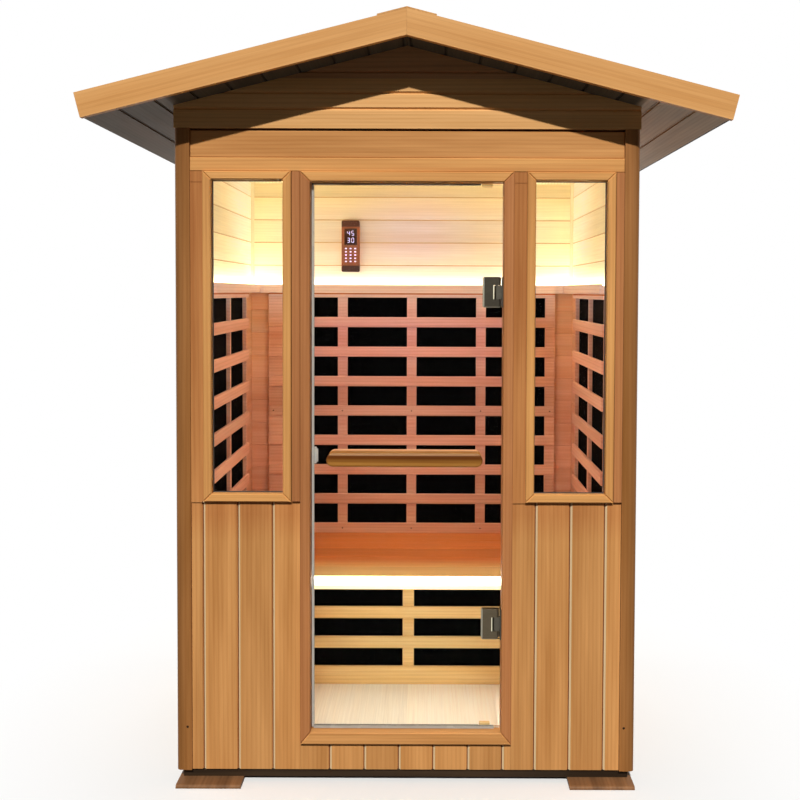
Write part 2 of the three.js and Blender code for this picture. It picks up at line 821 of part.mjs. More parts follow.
// Bench: seat boards with an apron, a slatted front with its heater, a ledger and a light
function addBench() {
  const front = backInner - seatDepth;
  const back = backInner - joint;
  const under = seatTop - seatThickness;
  const boards = groovedEdge(
    [front, back],
    seatTop,
    -1,
    seatBoard,
    seatBoard,
    liningGrooveWidth,
    liningGrooveDepth,
  );
  const apronBack = front + apronThickness;
  const outline = [
    ...boards,
    [back, under],
    [apronBack, under],
    [apronBack, apronBottom],
    [front, apronBottom],
  ];
  const halfWidth = sideInner - joint;
  place("bench_seat", carriedX(outline, [-halfWidth, halfWidth]), finishes.bench);

  const guardFace = front + benchGuardSetback;
  const halfGuard = sideInner - benchGuardInset;
  const low = floorTop + joint;
  const high = apronBottom - joint;
  const gap = (high - low - benchRailHeight - benchSlatRows * slatHeight) / (benchSlatRows + 1);
  const slats = [slat([-halfGuard, halfGuard], [low, low + benchRailHeight])];
  for (let row = 0; row < benchSlatRows; row += 1) {
    const z = low + benchRailHeight + gap + row * (slatHeight + gap);
    slats.push(slat([-halfGuard, halfGuard], [z, z + slatHeight]));
  }
  const uprights = battens([-halfGuard, halfGuard], benchBays, battenWidth, [low, high]);
  const lattice = joined(...slats, ...uprights);
  place("bench_front_guard", lattice, finishes.bench).position.y = guardFace;
  const heaterY = guardFace + slatThickness + battenThickness + joint;
  const heaterX = halfGuard - heaterMargin;
  const heaterZ = [low + heaterMargin, high - heaterMargin];
  const heater = block([-heaterX, heaterX], [heaterY, heaterY + heaterThickness], heaterZ);
  place("bench_heater", heater, finishes.heater);

  const ledger = block(
    [-halfGuard, halfGuard],
    [back - ledgerThickness, back],
    [under - joint - ledgerHeight, under - joint],
  );
  place("bench_ledger", ledger, finishes.bench);
  const lightZ = [apronBottom + benchLightMargin, seatTop - benchLightMargin];
  const light = block(
    [-halfGuard, halfGuard],
    [front - joint - benchLightThickness, front - joint],
    lightZ,
  );
  place("bench_light_strip", light, finishes.light);
}

// A level slat with chamfered edges, its front at Y 0
function slat([x0, x1], [z0, z1]) {
  return chamferedPlate(rectangle([x0, x1], [z0, z1]), [0, slatThickness], slatChamfer);
}

// Upright battens behind the slats, evenly spaced from end to end
function battens([x0, x1], bays, width, [z0, z1]) {
  const first = x0 + width / 2;
  const step = (x1 - x0 - width) / bays;
  return Array.from({ length: bays + 1 }, (_, i) => {
    const x = first + i * step;
    return batten([x - width / 2, x + width / 2], [z0, z1]);
  });
}

function batten(x, z) {
  return block(x, [slatThickness - slatChamfer, slatThickness + battenThickness], z);
}

// A slatted guard in its own frame: X along the wall, Y towards the wall, the slats' front at Y 0
function guard([x0, x1], bays, width, ledgeX, floorX) {
  const low = seatTop + joint;
  const rowPitch = (guardHeight - slatHeight) / guardRows;
  const slats = Array.from({ length: guardRows + 1 }, (_, row) => {
    const z = low + row * rowPitch;
    return slat([x0, x1], [z, z + slatHeight]);
  });
  const wall = guardDepth() - joint;
  const ledgeZ = [ledgeTop - ledgeHeight, ledgeTop];
  const ledge = chamferedPlate(rectangle(ledgeX, ledgeZ), [-ledgeThickness, slatChamfer], slatChamfer);
  const floor = block(floorX, [joint, wall], [guardTop - slatChamfer, guardTop + ledgeFloor]);
  return joined(...slats, ...battens([x0, x1], bays, width, [low, guardTop]), ledge, floor);
}

function guardDepth() {
  return slatThickness + battenThickness + heaterThickness + 2 * joint;
}

// The heater behind a guard, in the guard's frame
function heaterPanel([x0, x1]) {
  const y0 = slatThickness + battenThickness + joint;
  const low = seatTop + joint + heaterMargin;
  return block(
    [x0 + heaterMargin, x1 - heaterMargin],
    [y0, y0 + heaterThickness],
    [low, guardTop - slatHeight],
  );
}

// Heaters and guards on the back and side walls, with the light along the ledge
function addHeaters() {
  const depth = guardDepth();
  const backPlane = backInner - depth;
  const sidePlane = sideInner - depth;
  const backX = [backGuardInset - sideInner, sideInner - backGuardInset];
  const ledgeHalf = sidePlane - joint;
  const back = new THREE.Group();
  back.position.y = backPlane;
  const ledgeX = [-ledgeHalf, ledgeHalf];
  const backGuard = joined(
    guard(backX, backGuardBays, battenWidth, ledgeX, ledgeX),
    batten([backX[0], backX[0] + backStileWidth], [seatTop + joint, guardTop]),
  );
  place("back_guard", backGuard, finishes.guard, back);
  place("back_heater", heaterPanel(backX), finishes.heater, back);
  sauna.add(back);

  const run = [frontInner + sideGuardFront, backInner - sideGuardBack];
  const ledgeEnd = backPlane - ledgeThickness - joint;
  const floorEnd = backInner - joint;
  for (const [hand, side] of [["left", -1], ["right", 1]]) {
    const turned = ([a, b]) => (side < 0 ? [a, b] : [-b, -a]);
    const group = new THREE.Group();
    group.rotation.z = -side * Math.PI / 2;
    group.position.x = side * sidePlane;
    const ledge = turned([run[0], ledgeEnd]);
    const floor = turned([run[0], floorEnd]);
    const shape = guard(turned(run), sideGuardBays, sideBattenWidth, ledge, floor);
    place(`${hand}_guard`, shape, finishes.guard, group);
    place(`${hand}_heater`, heaterPanel(turned(run)), finishes.heater, group);
    sauna.add(group);
  }

  const outerX = sidePlane + (depth + lightWidth) / 2;
  const outerY = backPlane + (depth + lightWidth) / 2;
  const innerX = outerX - lightWidth;
  const start = run[0] + lightWidth;
  const outline = [
    [-outerX, start], [-innerX, start], [-innerX, outerY - lightWidth], [innerX, outerY - lightWidth],
    [innerX, start], [outerX, start], [outerX, outerY], [-outerX, outerY],
  ];
  const base = guardTop + ledgeFloor + joint;
  place("wall_light_strip", risen(outline, [base, base + lightThickness]), finishes.light);
}

// Control panel with a raised cap at each end, on the back wall above the ledge
function addControl() {
  const x = [controlOffset - controlWidth / 2, controlOffset + controlWidth / 2];
  const z = [ledgeTop + controlRise, ledgeTop + controlRise + controlHeight];
  const back = backInner - joint;
  const front = back - controlThickness;
  const face = carriedY(shapeOf(roundedOutline(x, z, controlCorner)), [front, back]);
  const capDepth = [front - controlCapProud, back];
  const lower = carriedY(
    shapeOf(roundedOutline(x, [z[0], z[0] + controlCapHeight], controlCorner)),
    capDepth,
  );
  const upper = carriedY(
    shapeOf(roundedOutline(x, [z[1] - controlCapHeight, z[1]], controlCorner)),
    capDepth,
  );
  place("control_panel", joined(face, lower, upper), finishes.control);
}

// Ceiling on the linings, and the power unit with its cable gland above it
function addCeiling() {
  const wide = sideFace - panelThickness - joint;
  const narrow = postInnerX - joint;
  const front = frontInner + joint;
  const back = backFace - panelThickness - joint;
  const beside = postInnerY - joint;
  const right = [
    [narrow, front],
    [narrow, -beside],
    [wide, -beside],
    [wide, beside],
    [narrow, beside],
    [narrow, back],
  ];
  const left = [...right].reverse().map(([x, y]) => [-x, y]);
  const top = ceilingBottom + joint + ceilingThickness;
  place("ceiling_panel", risen([...right, ...left], [ceilingBottom + joint, top]), finishes.lining);
  const base = top + joint;
  const box = risen(
    roundedOutline([-powerWidth / 2, powerWidth / 2], [-powerDepth / 2, powerDepth / 2], controlCorner),
    [base, base + powerHeight],
  );
  const gland = roundBar(glandRadius, glandLength * 2, true).translate(
    0,
    powerDepth / 2,
    base + powerHeight / 2,
  );
  place("power_unit", joined(box, gland), finishes.power);
}

// A point on one roof side: distance down the slope from the ridge, and height above the underside
function roofPoint(down, height) {
  return [
    down * Math.cos(pitch) + height * Math.sin(pitch),
    soffitApex - down * Math.sin(pitch) + height * Math.cos(pitch),
  ];
}

// A point on the upright cut at the ridge, beside the middle by the given distance
function ridgePoint(beside, height) {
  return [beside, soffitApex - beside * slope + height / Math.cos(pitch)];
}

// Right half of the roof panel: grooved soffit boards below, flat above, square at the eave
function roofPanelOutline() {
  const eave = (bodyWidth / 2 + eaveReach) / Math.cos(pitch);
  const soffit = groovedEdge([-eave, 0], 0, 1, boardPitch, boardPitch, grooveWidth, grooveDepth);
  const below = soffit.slice(0, -1).map(([s, depth]) => roofPoint(-s, depth));
  return [
    ...below,
    ridgePoint(joint / 2, 0),
    ridgePoint(joint / 2, roofThickness),
    roofPoint(eave, roofThickness),
  ];
}

// Shingle courses from eave to eave: each laps the one below it
function shingleOutline() {
  const base = roofThickness + joint;
  const eave = (bodyWidth / 2 + eaveReach) / Math.cos(pitch) + shingleDrip;
  const right = [roofPoint(eave, base)];
  for (let butt = eave; butt > shingleExposure / 2; butt -= shingleExposure) {
    const head = butt - shingleExposure;
    right.push(roofPoint(butt, base + shingleThickness));
    right.push(
      head > shingleExposure / 2 ? roofPoint(head, base + shingleTip) : ridgePoint(0, base + shingleTip),
    );
  }
  const left = right.slice(0, -1).reverse().map(([x, z]) => [-x, z]);
  return [ridgePoint(0, base), ...right, ...left];
}

// Gables, roof panels, shingles, barge boards and the ridge cap
function addRoof() {
  const roofCut = aboveSoffit();
  const gableFront = gableSetback - bodyDepth / 2;
  const gableBack = -postInnerY;
  const gableZ = [wallTop + joint, soffitApex];
  const grooves = [gableFoot, gableFirstBoard, gableFirstBoard + gableBoard];
  const edge = [gableZ[0], gableZ[1]].map((z) => [gableFront, z]);
  const face = grooves.flatMap((rise) => [
    [gableFront, gableZ[0] + rise - grooveWidth / 2],
    [gableFront + grooveDepth, gableZ[0] + rise],
    [gableFront, gableZ[0] + rise + grooveWidth / 2],
  ]);
  const outline = [edge[0], ...face, edge[1], [gableBack, gableZ[1]], [gableBack, gableZ[0]]];
  const halfGable = bodyWidth / 2 + gableSide;
  const gable = cut(carriedX(outline, [-halfGable, halfGable]), roofCut);
  place("gable_front", gable, finishes.cladding);
  place("gable_rear", gable.clone(), finishes.cladding).rotation.z = Math.PI;

  const panelEnd = roofEndY - bargeThickness - joint;
  const panel = carriedY(shapeOf(roofPanelOutline()), [-panelEnd, panelEnd]);
  place("roof_panel_right", panel, finishes.roofBoards);
  place("roof_panel_left", panel.clone(), finishes.roofBoards).rotation.z = Math.PI;
  place("roof_shingles", carriedY(shapeOf(shingleOutline()), [-panelEnd, panelEnd]), finishes.shingles);

  const bargeEnd = (bodyWidth / 2 + bargeReach - shingleTop * Math.sin(pitch)) / Math.cos(pitch);
  const bargeLow = shingleTop - bargeWidth;
  const barge = [
    ridgePoint(joint / 2, bargeLow),
    roofPoint(bargeEnd, bargeLow),
    roofPoint(bargeEnd, shingleTop),
    ridgePoint(joint / 2, shingleTop),
  ];
  for (const [end, turn] of [["front", 0], ["rear", Math.PI]]) {
    const group = new THREE.Group();
    group.rotation.z = turn;
    const depth = [-roofEndY, bargeThickness - roofEndY];
    const mirrored = barge.map(([x, z]) => [-x, z]);
    const hands = turn ? ["left", "right"] : ["right", "left"];
    place(`barge_${end}_${hands[0]}`, carriedY(shapeOf(barge), depth), finishes.barge, group);
    place(`barge_${end}_${hands[1]}`, carriedY(shapeOf(mirrored), depth), finishes.barge, group);
    sauna.add(group);
  }

  const capLow = shingleTop + joint;
  const capTop = capLow + ridgeThickness;
  const capRight = [roofPoint(ridgeWidth, capLow), roofPoint(ridgeWidth, capTop)];
  const capLeft = [...capRight].reverse().map(([x, z]) => [-x, z]);
  const cap = [ridgePoint(0, capLow), ...capRight, ridgePoint(0, capTop), ...capLeft];
  place("ridge_cap", carriedY(shapeOf(cap), [-roofEndY, roofEndY]), finishes.ridge);
}

addRunners();
addFloor();
addPosts();
addWalls();
addFront();
addDoor();
addBench();
addHeaters();
addControl();
addCeiling();
addRoof();

export default sauna;
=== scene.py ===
import json
import math

import bmesh
import bpy
import numpy as np
from bpy.props import FloatProperty, FloatVectorProperty, IntProperty, PointerProperty
from mathutils import Matrix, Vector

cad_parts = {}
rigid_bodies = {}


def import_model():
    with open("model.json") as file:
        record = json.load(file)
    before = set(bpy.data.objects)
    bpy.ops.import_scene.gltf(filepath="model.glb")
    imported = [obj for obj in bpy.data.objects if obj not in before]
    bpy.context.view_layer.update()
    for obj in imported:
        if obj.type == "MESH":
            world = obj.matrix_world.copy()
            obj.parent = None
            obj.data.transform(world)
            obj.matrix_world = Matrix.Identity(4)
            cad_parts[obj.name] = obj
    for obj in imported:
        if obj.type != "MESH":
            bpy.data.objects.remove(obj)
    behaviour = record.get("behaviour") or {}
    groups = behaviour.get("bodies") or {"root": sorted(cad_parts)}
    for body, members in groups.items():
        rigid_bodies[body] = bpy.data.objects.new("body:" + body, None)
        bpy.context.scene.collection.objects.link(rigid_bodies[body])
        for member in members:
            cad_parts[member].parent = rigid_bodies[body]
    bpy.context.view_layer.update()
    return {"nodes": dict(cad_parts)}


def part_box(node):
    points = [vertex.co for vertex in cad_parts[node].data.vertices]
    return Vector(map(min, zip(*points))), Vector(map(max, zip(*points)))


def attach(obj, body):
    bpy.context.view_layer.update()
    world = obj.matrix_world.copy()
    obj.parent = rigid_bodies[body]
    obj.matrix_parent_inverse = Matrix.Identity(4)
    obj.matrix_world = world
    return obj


bpy.data.batch_remove(list(bpy.data.objects))
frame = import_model()

bl_info = {
    "name": "Sauna cabin",
    "version": (1, 0, 0),
    "blender": (4, 5, 0),
    "location": "View3D > Sidebar > Cabin",
    "description": "Finishes, fittings and stage for a two-seat infrared sauna cabin",
    "category": "Object",
}

SIDES = ("left", "right")
ROOF_PITCH = math.radians(14.3)
EAVE = 0.9  # Half width of the roof
EASE = 0.0015  # Eased edge of small strips and blocks
CLEAR = 0.0002  # Room between a piece and what it sits on
SHARP = math.radians(40)  # Edges turned more than this stay sharp

# Boards: one without a joint, the outside boards, the lining and the guards' slats
ONE_BOARD = 9.0
OUTSIDE = {"pitch": 0.102, "groove": 0.005, "gap": 0.0032, "lit": 0.8}
LINING = {"pitch": 0.088, "slot": "lining_joint", "lines": 0.08}
GUARD_PITCH = 0.1147
# Painted light: the inner boards and corner beads turn to a glowing wood at the corners.
CORNER_PAINTED_GLOW = ("aside", 0.36, 0.58, "glow")

# Where each wood is, its pale colour and its deep colour
WOODS = {
    "cedar": ("the outside boards", "CE9458", "B47B43"),
    # Painted shade: the lower front boards turn darker just under the window frames.
    "stain": ("the tops of the lower front boards", "C6884F", "A86A38"),
    # Painted light and shade: the upper gable boards are darker as painted shade under the barge boards, and
    # the lower ones paler as painted sunlight.
    "gable": ("the upper gable boards", "D09866", "AC784C"),
    "sunlit_gable_foot": ("the lower gable boards", "E8B274", "D49C5C"),
    "post": ("the corner posts", "AA7340", "8C5A2A"),
    "trim": ("the window frames, door head and top rail", "DBA05E", "C4894D"),
    "jamb": ("the door jambs and cover strips", "BA7C4B", "A2673C"),
    "barge": ("the barge boards and ridge cap", "DDA566", "CA9052"),
    # Painted light and shade under the roof: the left eaves are a shaded and the right eaves a lit copy of one
    # wood, and the wood between the eaves is painted shadow.
    "left_soffit": ("the underside of the left eaves", "7E7162", "686052"),
    "right_soffit": ("the underside of the right eaves", "E4CBAB", "C4AC8E"),
    "verge": ("the roof's underside between the eaves", "463E31", "362F25"),
    "plinth": ("the plinth", "3A2B1C", "1E150D"),
    "runner": ("the runners", "986B45", "66462C"),
    "lining": ("the inner boards", "EAE0D5", "E3D2C1"),
    # The inner boards' woods below are painted light in the middle of the back wall, under the ceiling, at the
    # rear, at the corners and just above the guards, and painted shade behind the guards and low in the
    # corners.
    "rosy": ("the middle of the back wall", "EADFEC", "E3D1D7"),
    "high": ("the back wall under the ceiling", "F0DEB0", "E6D09E"),
    "rear": ("the rear of the side walls", "FFFFFA", "FFFFF0"),
    "glow": ("the inner boards at the corners", "FFF8DA", "F6ECCC"),
    "bright": ("the inner boards just above the guards", "FFFFF4", "FFFAEA"),
    "nook": ("the inner boards below the guards' tops", "FFD2A4", "FBBE8C"),
    "low_nook": ("the inner boards low in the corners", "E2AC8B", "D49570"),
    # Painted light and shade on the heater guards: their salmon tints are painted reddish light, the lower and
    # upper slats are differently lit copies, the top boards are pale with painted light, and the line under
    # them is painted shadow.
    "guard": ("the back heater guard", "DAA691", "CC8C76"),
    "guard_foot": ("the back guard's lower slats", "DAA681", "CC8C68"),
    "guard_top": ("the back guard's upper slats", "DAA6A4", "CC8C86"),
    "side_guard": ("the side heater guards", "F0BC9E", "E2A080"),
    "ledge": ("the guards' top boards", "FFE8E0", "FFD8CC"),
    "reveal": ("the shadowed line under the guards' top boards", "DA803F", "DA803F"),
    "seat": ("the bench", "D27C42", "C27038"),
    "slat": ("the bench slats", "F4D492", "E9BF78"),
    "floor": ("the floor", "FFFEEC", "FFFAE4"),
    # Painted light and shade on the handles: the pale upper edges are a painted highlight, the outer handle's
    # dark wood is painted shade, and its paler lower side is painted light.
    "handle": ("the outer handle", "723E0A", "5A2D05"),
    "handle_highlight": ("the outer handle's worn upper edge", "A87D54", "A87D54"),
    "handle_lit_foot": ("the outer handle's lower side", "A87431", "8A5A24"),
    "grip": ("the inner handle", "C08446", "A2682F"),
    "grip_highlight": ("the inner handle's worn upper edge", "D8A276", "D8A276"),
}

# Colours of everything else
COLOURS = {
    "groove": ("Shadowed floor of an outside board joint", "6A3A1E"),
    "bevel": ("Lit bevel of a board joint", "EFD8AA"),
    "lining_joint": ("Joint of the inner boards", "C79A62"),
    "soffit_joint": ("Joint of the boards under the roof", "2A211A"),
    "steel": ("Satin metal of the hinge leaves and screws", "5E594E"),
    "dark_screw": ("Screws in the posts and guards", "3A2A1E"),
    # The two clamps are one metal: the upper is a darker copy as painted shade, the lower a lighter copy as
    # painted light.
    "upper_clamp": ("Dark satin metal of the upper hinge clamp", "464137"),
    "lower_clamp": ("Satin metal of the lower hinge clamp", "605645"),
    # Painted highlights: a lighter rim on the clamps' eased edges and a bright line beside the knuckle.
    "rim": ("Eased edges of the hinge clamps", "A4A190"),
    "polish": ("Polished line beside the knuckle", "E4DFC2"),
    "catch": ("Plastic of the door catch", "CFCBC2"),
    "heater": ("Carbon face of the heaters", "010101"),
    "light": ("Glow of the light strips", "FFF6E6"),
    "side_light": ("Glow of the wall light at the side walls", "FFFFC8"),
    "seal": ("Clear door seal", "A8A297"),
    "gasket": ("Rubber at the window panes and the door head", "2A221C"),
    "panel": ("Case of the control panel", "96532F"),
    "panel_cap": ("End caps of the control panel", "452015"),
    "display": ("Display window of the control panel", "3A1A12"),
    "figure": ("Glow of the figures and keys", "CBC6FF"),
    "power_case": ("Case of the power unit", "2E2D2C"),
    "shingle": ("Stone chips on the shingles", "4B4743"),
}


def linear(code):
    """Scene-linear colour of a six-digit screen colour."""
    share = np.array([int(code[i:i + 2], 16) / 255 for i in (0, 2, 4)])
    return tuple(np.where(share <= 0.04045, share / 12.92, ((share + 0.055) / 1.055) ** 2.4))


def paint(key, about, code):
    """A colour setting with its default, named after its key."""
    return FloatVectorProperty(
        name=key.replace("_", " ").capitalize(), description=about, subtype="COLOR", size=3, min=0, max=1,
        default=linear(code),
    )


def length(name, about, metres):
    """A length setting with its default in metres."""
    return FloatProperty(name=name, description=about, unit="LENGTH", default=metres, precision=4)


def strength(name, about, default):
    """A setting for the strength of a light."""
    return FloatProperty(name=name, description=about, default=default, min=0)


class CabinTimber(bpy.types.PropertyGroup):
    """Colours of the timber: pale and deep wood for each place in WOODS."""

    __annotations__ = {
        f"{key}_{tone}": paint(f"{key}_{tone}", f"{tone.capitalize()} wood of {where}", code)
        for key, (where, *codes) in WOODS.items() for tone, code in zip(("pale", "deep"), codes)
    }


class CabinColours(bpy.types.PropertyGroup):
    """Colours of joints, metal, plastic, lights and shingles."""

    __annotations__ = {key: paint(key, about, code) for key, (about, code) in COLOURS.items()}


class CabinFittings(bpy.types.PropertyGroup):
    """Sizes and strengths of the fittings."""

    seal_wall: length("Seal wall", "Thickness of the door seal beside the glass", 0.0012)
    bead: length("Bead", "Width of the gasket at a window pane", 0.003)
    screw_radius: length("Screw radius", "Radius of a screw head", 0.0036)
    guard_screw: length("Guard screw", "Radius of a screw head on the guards", 0.0026)
    corner_bead: length("Corner bead", "Radius of the beads in the inner corners", 0.011)
    tab_gap: length("Tab gap", "Slit between two shingle tabs", 0.006)
    tab_thickness: length("Tab thickness", "Thickness of a shingle tab", 0.0026)
    tab_count: IntProperty(name="Tabs", description="Shingle tabs along one course", default=8, min=2)
    glow: strength("Glow", "Strength of the wall light", 30.0)
    side_gain: strength("Side gain", "How many times stronger the wall light is at the side walls", 2.7)
    bench_glow: strength("Bench glow", "Strength of the bench light", 23.0)
    figure_glow: strength("Figure glow", "Strength of the figures and keys", 1.35)


class CabinStage(bpy.types.PropertyGroup):
    """Camera and lamps."""

    lens: FloatProperty(name="Lens", description="Focal length", unit="CAMERA", default=45.99)
    eye: FloatVectorProperty(
        name="Eye", description="Camera place", subtype="XYZ", size=3, unit="LENGTH",
        default=(0.0584, -3.5044, 1.450),
    )
    pitch: FloatProperty(
        name="Pitch", description="Camera turned down", subtype="ANGLE", default=math.radians(2.05)
    )
    roll: FloatProperty(
        name="Roll", description="Camera turned about its view", subtype="ANGLE",
        default=math.radians(0.21),
    )
    shift: FloatVectorProperty(
        name="Shift", description="Frame shift as a share of the width", size=2,
        default=(-0.0336, -0.0893),
    )
    sun: strength("Sun", "Strength of the main lamp", 3.95)
    sky: strength("Sky", "Strength of the soft light all round", 0.05)
    fill: strength("Fill", "Strength of each side and back lamp", 46.0)
    inner: strength("Inner lamp", "Strength of the lamp in the room", 2.35)
    pale: paint("floor", "Stage floor", "F2F1EE")


# Node trees

def fill(tree, node, sockets):
    """Fills each named socket of a node with a value or a link."""
    for key, value in sockets.items():
        if isinstance(value, bpy.types.NodeSocket):
            tree.links.new(value, node.inputs[key])
        else:
            node.inputs[key].default_value = value
    return node


def put(tree, kind, sockets=None, **settings):
    """Adds a node, sets it up and fills its sockets."""
    node = tree.nodes.new(kind)
    for key, value in settings.items():
        setattr(node, key, value)
    return fill(tree, node, sockets or {})


def maths(tree, operation, *values, clamp=False):
    """Result of a Math node."""
    node = put(tree, "ShaderNodeMath", dict(enumerate(values)), operation=operation, use_clamp=clamp)
    return node.outputs[0]


def apart(tree, value, middle):
    """Distance of a value from a middle."""
    return maths(tree, "ABSOLUTE", maths(tree, "SUBTRACT", value, middle))


def vectors(tree, operation, *values):
    """Results of a Vector Math node: a vector and a value."""
    return put(tree, "ShaderNodeVectorMath", dict(enumerate(values)), operation=operation).outputs


def axes(tree, place):
    """The three parts of a place by the names of their axes."""
    return dict(zip("XYZ", put(tree, "ShaderNodeSeparateXYZ", {0: place}).outputs))


def solid(colour):
    """A colour with full opacity, or the socket as it is."""
    return colour if isinstance(colour, bpy.types.NodeSocket) else (*tuple(colour)[:3], 1)


def tinted(colour, share):
    """A colour times one share, or times a share for each of its parts."""
    return tuple(np.multiply(colour, share))


def mixed(tree, factor, first, second, blend="MIX"):
    """Result of a colour Mix node."""
    values = {0: factor, 6: solid(first), 7: solid(second)}
    return put(tree, "ShaderNodeMix", values, data_type="RGBA", blend_type=blend).outputs[2]


def spread(tree, value, low, high, start=0.0, end=1.0):
    """Value taken from low..high to start..end, held inside it."""
    sockets = {0: value, 1: low, 2: high, 3: start, 4: end}
    return put(tree, "ShaderNodeMapRange", sockets).outputs[0]


def noise(tree, vector, scale, detail=2.0, rough=0.5):
    """Factor of a noise texture."""
    sockets = {"Vector": vector, "Scale": scale, "Detail": detail, "Roughness": rough}
    return put(tree, "ShaderNodeTexNoise", sockets).outputs[0]


def bumped(tree, height, depth, amount):
    """Normal of a bump of this depth."""
    sockets = {"Height": height, "Distance": depth, "Strength": amount}
    return put(tree, "ShaderNodeBump", sockets).outputs[0]


def background_ray(tree):
    """One for a ray that shows the background: from the camera, off a glossy face or through glass."""
    seen = put(tree, "ShaderNodeLightPath").outputs
    shown = maths(tree, "ADD", seen["Is Camera Ray"], seen["Is Transmission Ray"])
    return maths(tree, "ADD", shown, seen["Is Glossy Ray"], clamp=True)


def shader_group(name, inputs, outputs):
    """A new node group with its entry and its exit: Position and Shift are vectors, other sockets numbers."""
    tree = bpy.data.node_groups.new(name, "ShaderNodeTree")
    for way, labels in (("INPUT", inputs), ("OUTPUT", outputs)):
        for label in labels.split():
            kind = "Vector" if label in ("Position", "Shift") else "Float"
            tree.interface.new_socket(label, in_out=way, socket_type=f"NodeSocket{kind}")
    return tree, tree.nodes.new("NodeGroupInput").outputs, tree.nodes.new("NodeGroupOutput")


def build_board_group():
    """Board number from a place across the boards: floor((x - first) / pitch), a random tone and shift
    for each number, and masks of the joint's slot and of the bevel beside it."""
    tree, entry, out = shader_group(
        "board_layout", "Position First Pitch Groove Gap", "Board Shift Slot Bevel"
    )
    across = axes(tree, entry["Position"])["X"]
    run = maths(tree, "DIVIDE", maths(tree, "SUBTRACT", across, entry["First"]), entry["Pitch"])
    number = maths(tree, "FLOOR", run)
    chance = put(tree, "ShaderNodeTexWhiteNoise", {"W": number}, noise_dimensions="1D").outputs
    nearest = maths(tree, "ROUND", run)
    aside = maths(tree, "MULTIPLY", maths(tree, "SUBTRACT", run, nearest), entry["Pitch"])
    before = maths(tree, "LESS_THAN", aside, 0.0)
    after = maths(tree, "SUBTRACT", 1.0, before)
    off = maths(tree, "ABSOLUTE", aside)
    fill(tree, out, {
        "Board": chance[0], "Shift": chance[1],
        "Slot": maths(tree, "MULTIPLY", before, maths(tree, "LESS_THAN", off, entry["Gap"])),
        "Bevel": maths(tree, "MULTIPLY", after, maths(tree, "LESS_THAN", off, entry["Groove"])),
    })


def build_figure_group():
    """Wood figure with the grain along the third axis: broad tones, growth lines bent by slow noise,
    and fine fibres, all drawn out along the grain."""
    tree, entry, out = shader_group("timber_figure", "Position Shift", "Tone Lines Fibre Height")
    moved = vectors(tree, "MULTIPLY_ADD", entry["Shift"], (3, 3, 9), entry["Position"])[0]
    drawn = vectors(tree, "MULTIPLY", moved, (1, 1, 0.06))[0]
    wave = {
        "Vector": drawn, "Scale": 26.0, "Distortion": 17.0, "Detail": 2.0, "Detail Scale": 0.16,
        "Detail Roughness": 0.4,
    }
    band = put(tree, "ShaderNodeTexWave", wave, bands_direction="X").outputs[1]
    lines = maths(tree, "POWER", band, 2.4)
    fibre = noise(tree, vectors(tree, "MULTIPLY", moved, (1, 1, 0.012))[0], 420.0, 2.0, 0.6)
    fill(tree, out, {
        "Tone": noise(tree, drawn, 24.0, 3.0, 0.55), "Lines": lines, "Fibre": fibre,
        "Height": maths(tree, "ADD", maths(tree, "MULTIPLY", lines, 0.35), fibre),
    })


def build_chip_group():
    """Stone chips: cells of random brightness over slow stains."""
    tree, entry, out = shader_group("stone_chips", "Position Chip", "Shade Stain Height")
    cells = put(tree, "ShaderNodeTexVoronoi", {"Vector": entry["Position"], "Scale": entry["Chip"]}).outputs
    fill(tree, out, {
        "Shade": put(tree, "ShaderNodeSeparateColor", {0: cells["Color"]}).outputs[0],
        "Stain": noise(tree, entry["Position"], 7.0, 4.0, 0.6), "Height": cells["Distance"],
    })


def build_brush_group():
    """Brushed metal or moulded plastic: fine streaks across the second axis over soft patches."""
    tree, entry, out = shader_group("satin_brush", "Position Streak", "Streaks Patches")
    drawn = vectors(tree, "MULTIPLY", entry["Position"], (0.05, 1, 1))[0]
    fill(tree, out, {
        "Streaks": noise(tree, drawn, entry["Streak"], 3.0, 0.6),
        "Patches": noise(tree, entry["Position"], 26.0, 3.0, 0.5),
    })


def placed_group(tree, name, **sockets):
    """Outputs of a node that uses the group of this name."""
    return put(tree, "ShaderNodeGroup", sockets, node_tree=bpy.data.node_groups[name]).outputs


# Materials

def new_material(name):
    """A material with its tree, its Principled shader and its Object coordinates."""
    material = bpy.data.materials.new(name)
    material.use_nodes = True
    tree = material.node_tree
    shader = tree.nodes["Principled BSDF"]
    return material, tree, shader, object_place(tree)


def object_place(tree):
    """Object coordinates, which are the frame's metres."""
    return put(tree, "ShaderNodeTexCoord").outputs["Object"]


def repaint(tree, share, colour):
    """Mixes another colour over a material's base colour by a share."""
    base = tree.nodes["Principled BSDF"].inputs["Base Color"]
    tree.links.new(mixed(tree, share, base.links[0].from_socket, colour), base)


def turned(tree, place, across, along, tilt=0.0):
    """Place with its axes put in the order across, other, along the grain, after a turn about Y."""
    if tilt:
        place = put(tree, "ShaderNodeMapping", {"Vector": place, "Rotation": (0, tilt, 0)}).outputs[0]
    parts = axes(tree, place)
    other = next(axis for axis in "XYZ" if axis not in (across, along))
    order = dict(enumerate((parts[across], parts[other], parts[along])))
    return put(tree, "ShaderNodeCombineXYZ", order).outputs[0]


def mitred(tree, place, low, high):
    """Grain that turns at a frame's mitres: upright where a side edge is nearer than an end edge."""
    parts = axes(tree, place)
    gaps = [
        maths(tree, "SUBTRACT", (high[i] - low[i]) / 2, apart(tree, parts[axis], (low[i] + high[i]) / 2))
        for i, axis in ((0, "X"), (2, "Z"))
    ]
    upright = maths(tree, "LESS_THAN", *gaps)
    sockets = {0: upright, 4: turned(tree, place, "Z", "X"), 5: turned(tree, place, "X", "Z")}
    return put(tree, "ShaderNodeMix", sockets, data_type="VECTOR").outputs[1]


def woods(key):
    """Pale and deep wood of a place in WOODS, as set."""
    settings = bpy.context.scene.cabin_timber
    return getattr(settings, f"{key}_pale"), getattr(settings, f"{key}_deep")


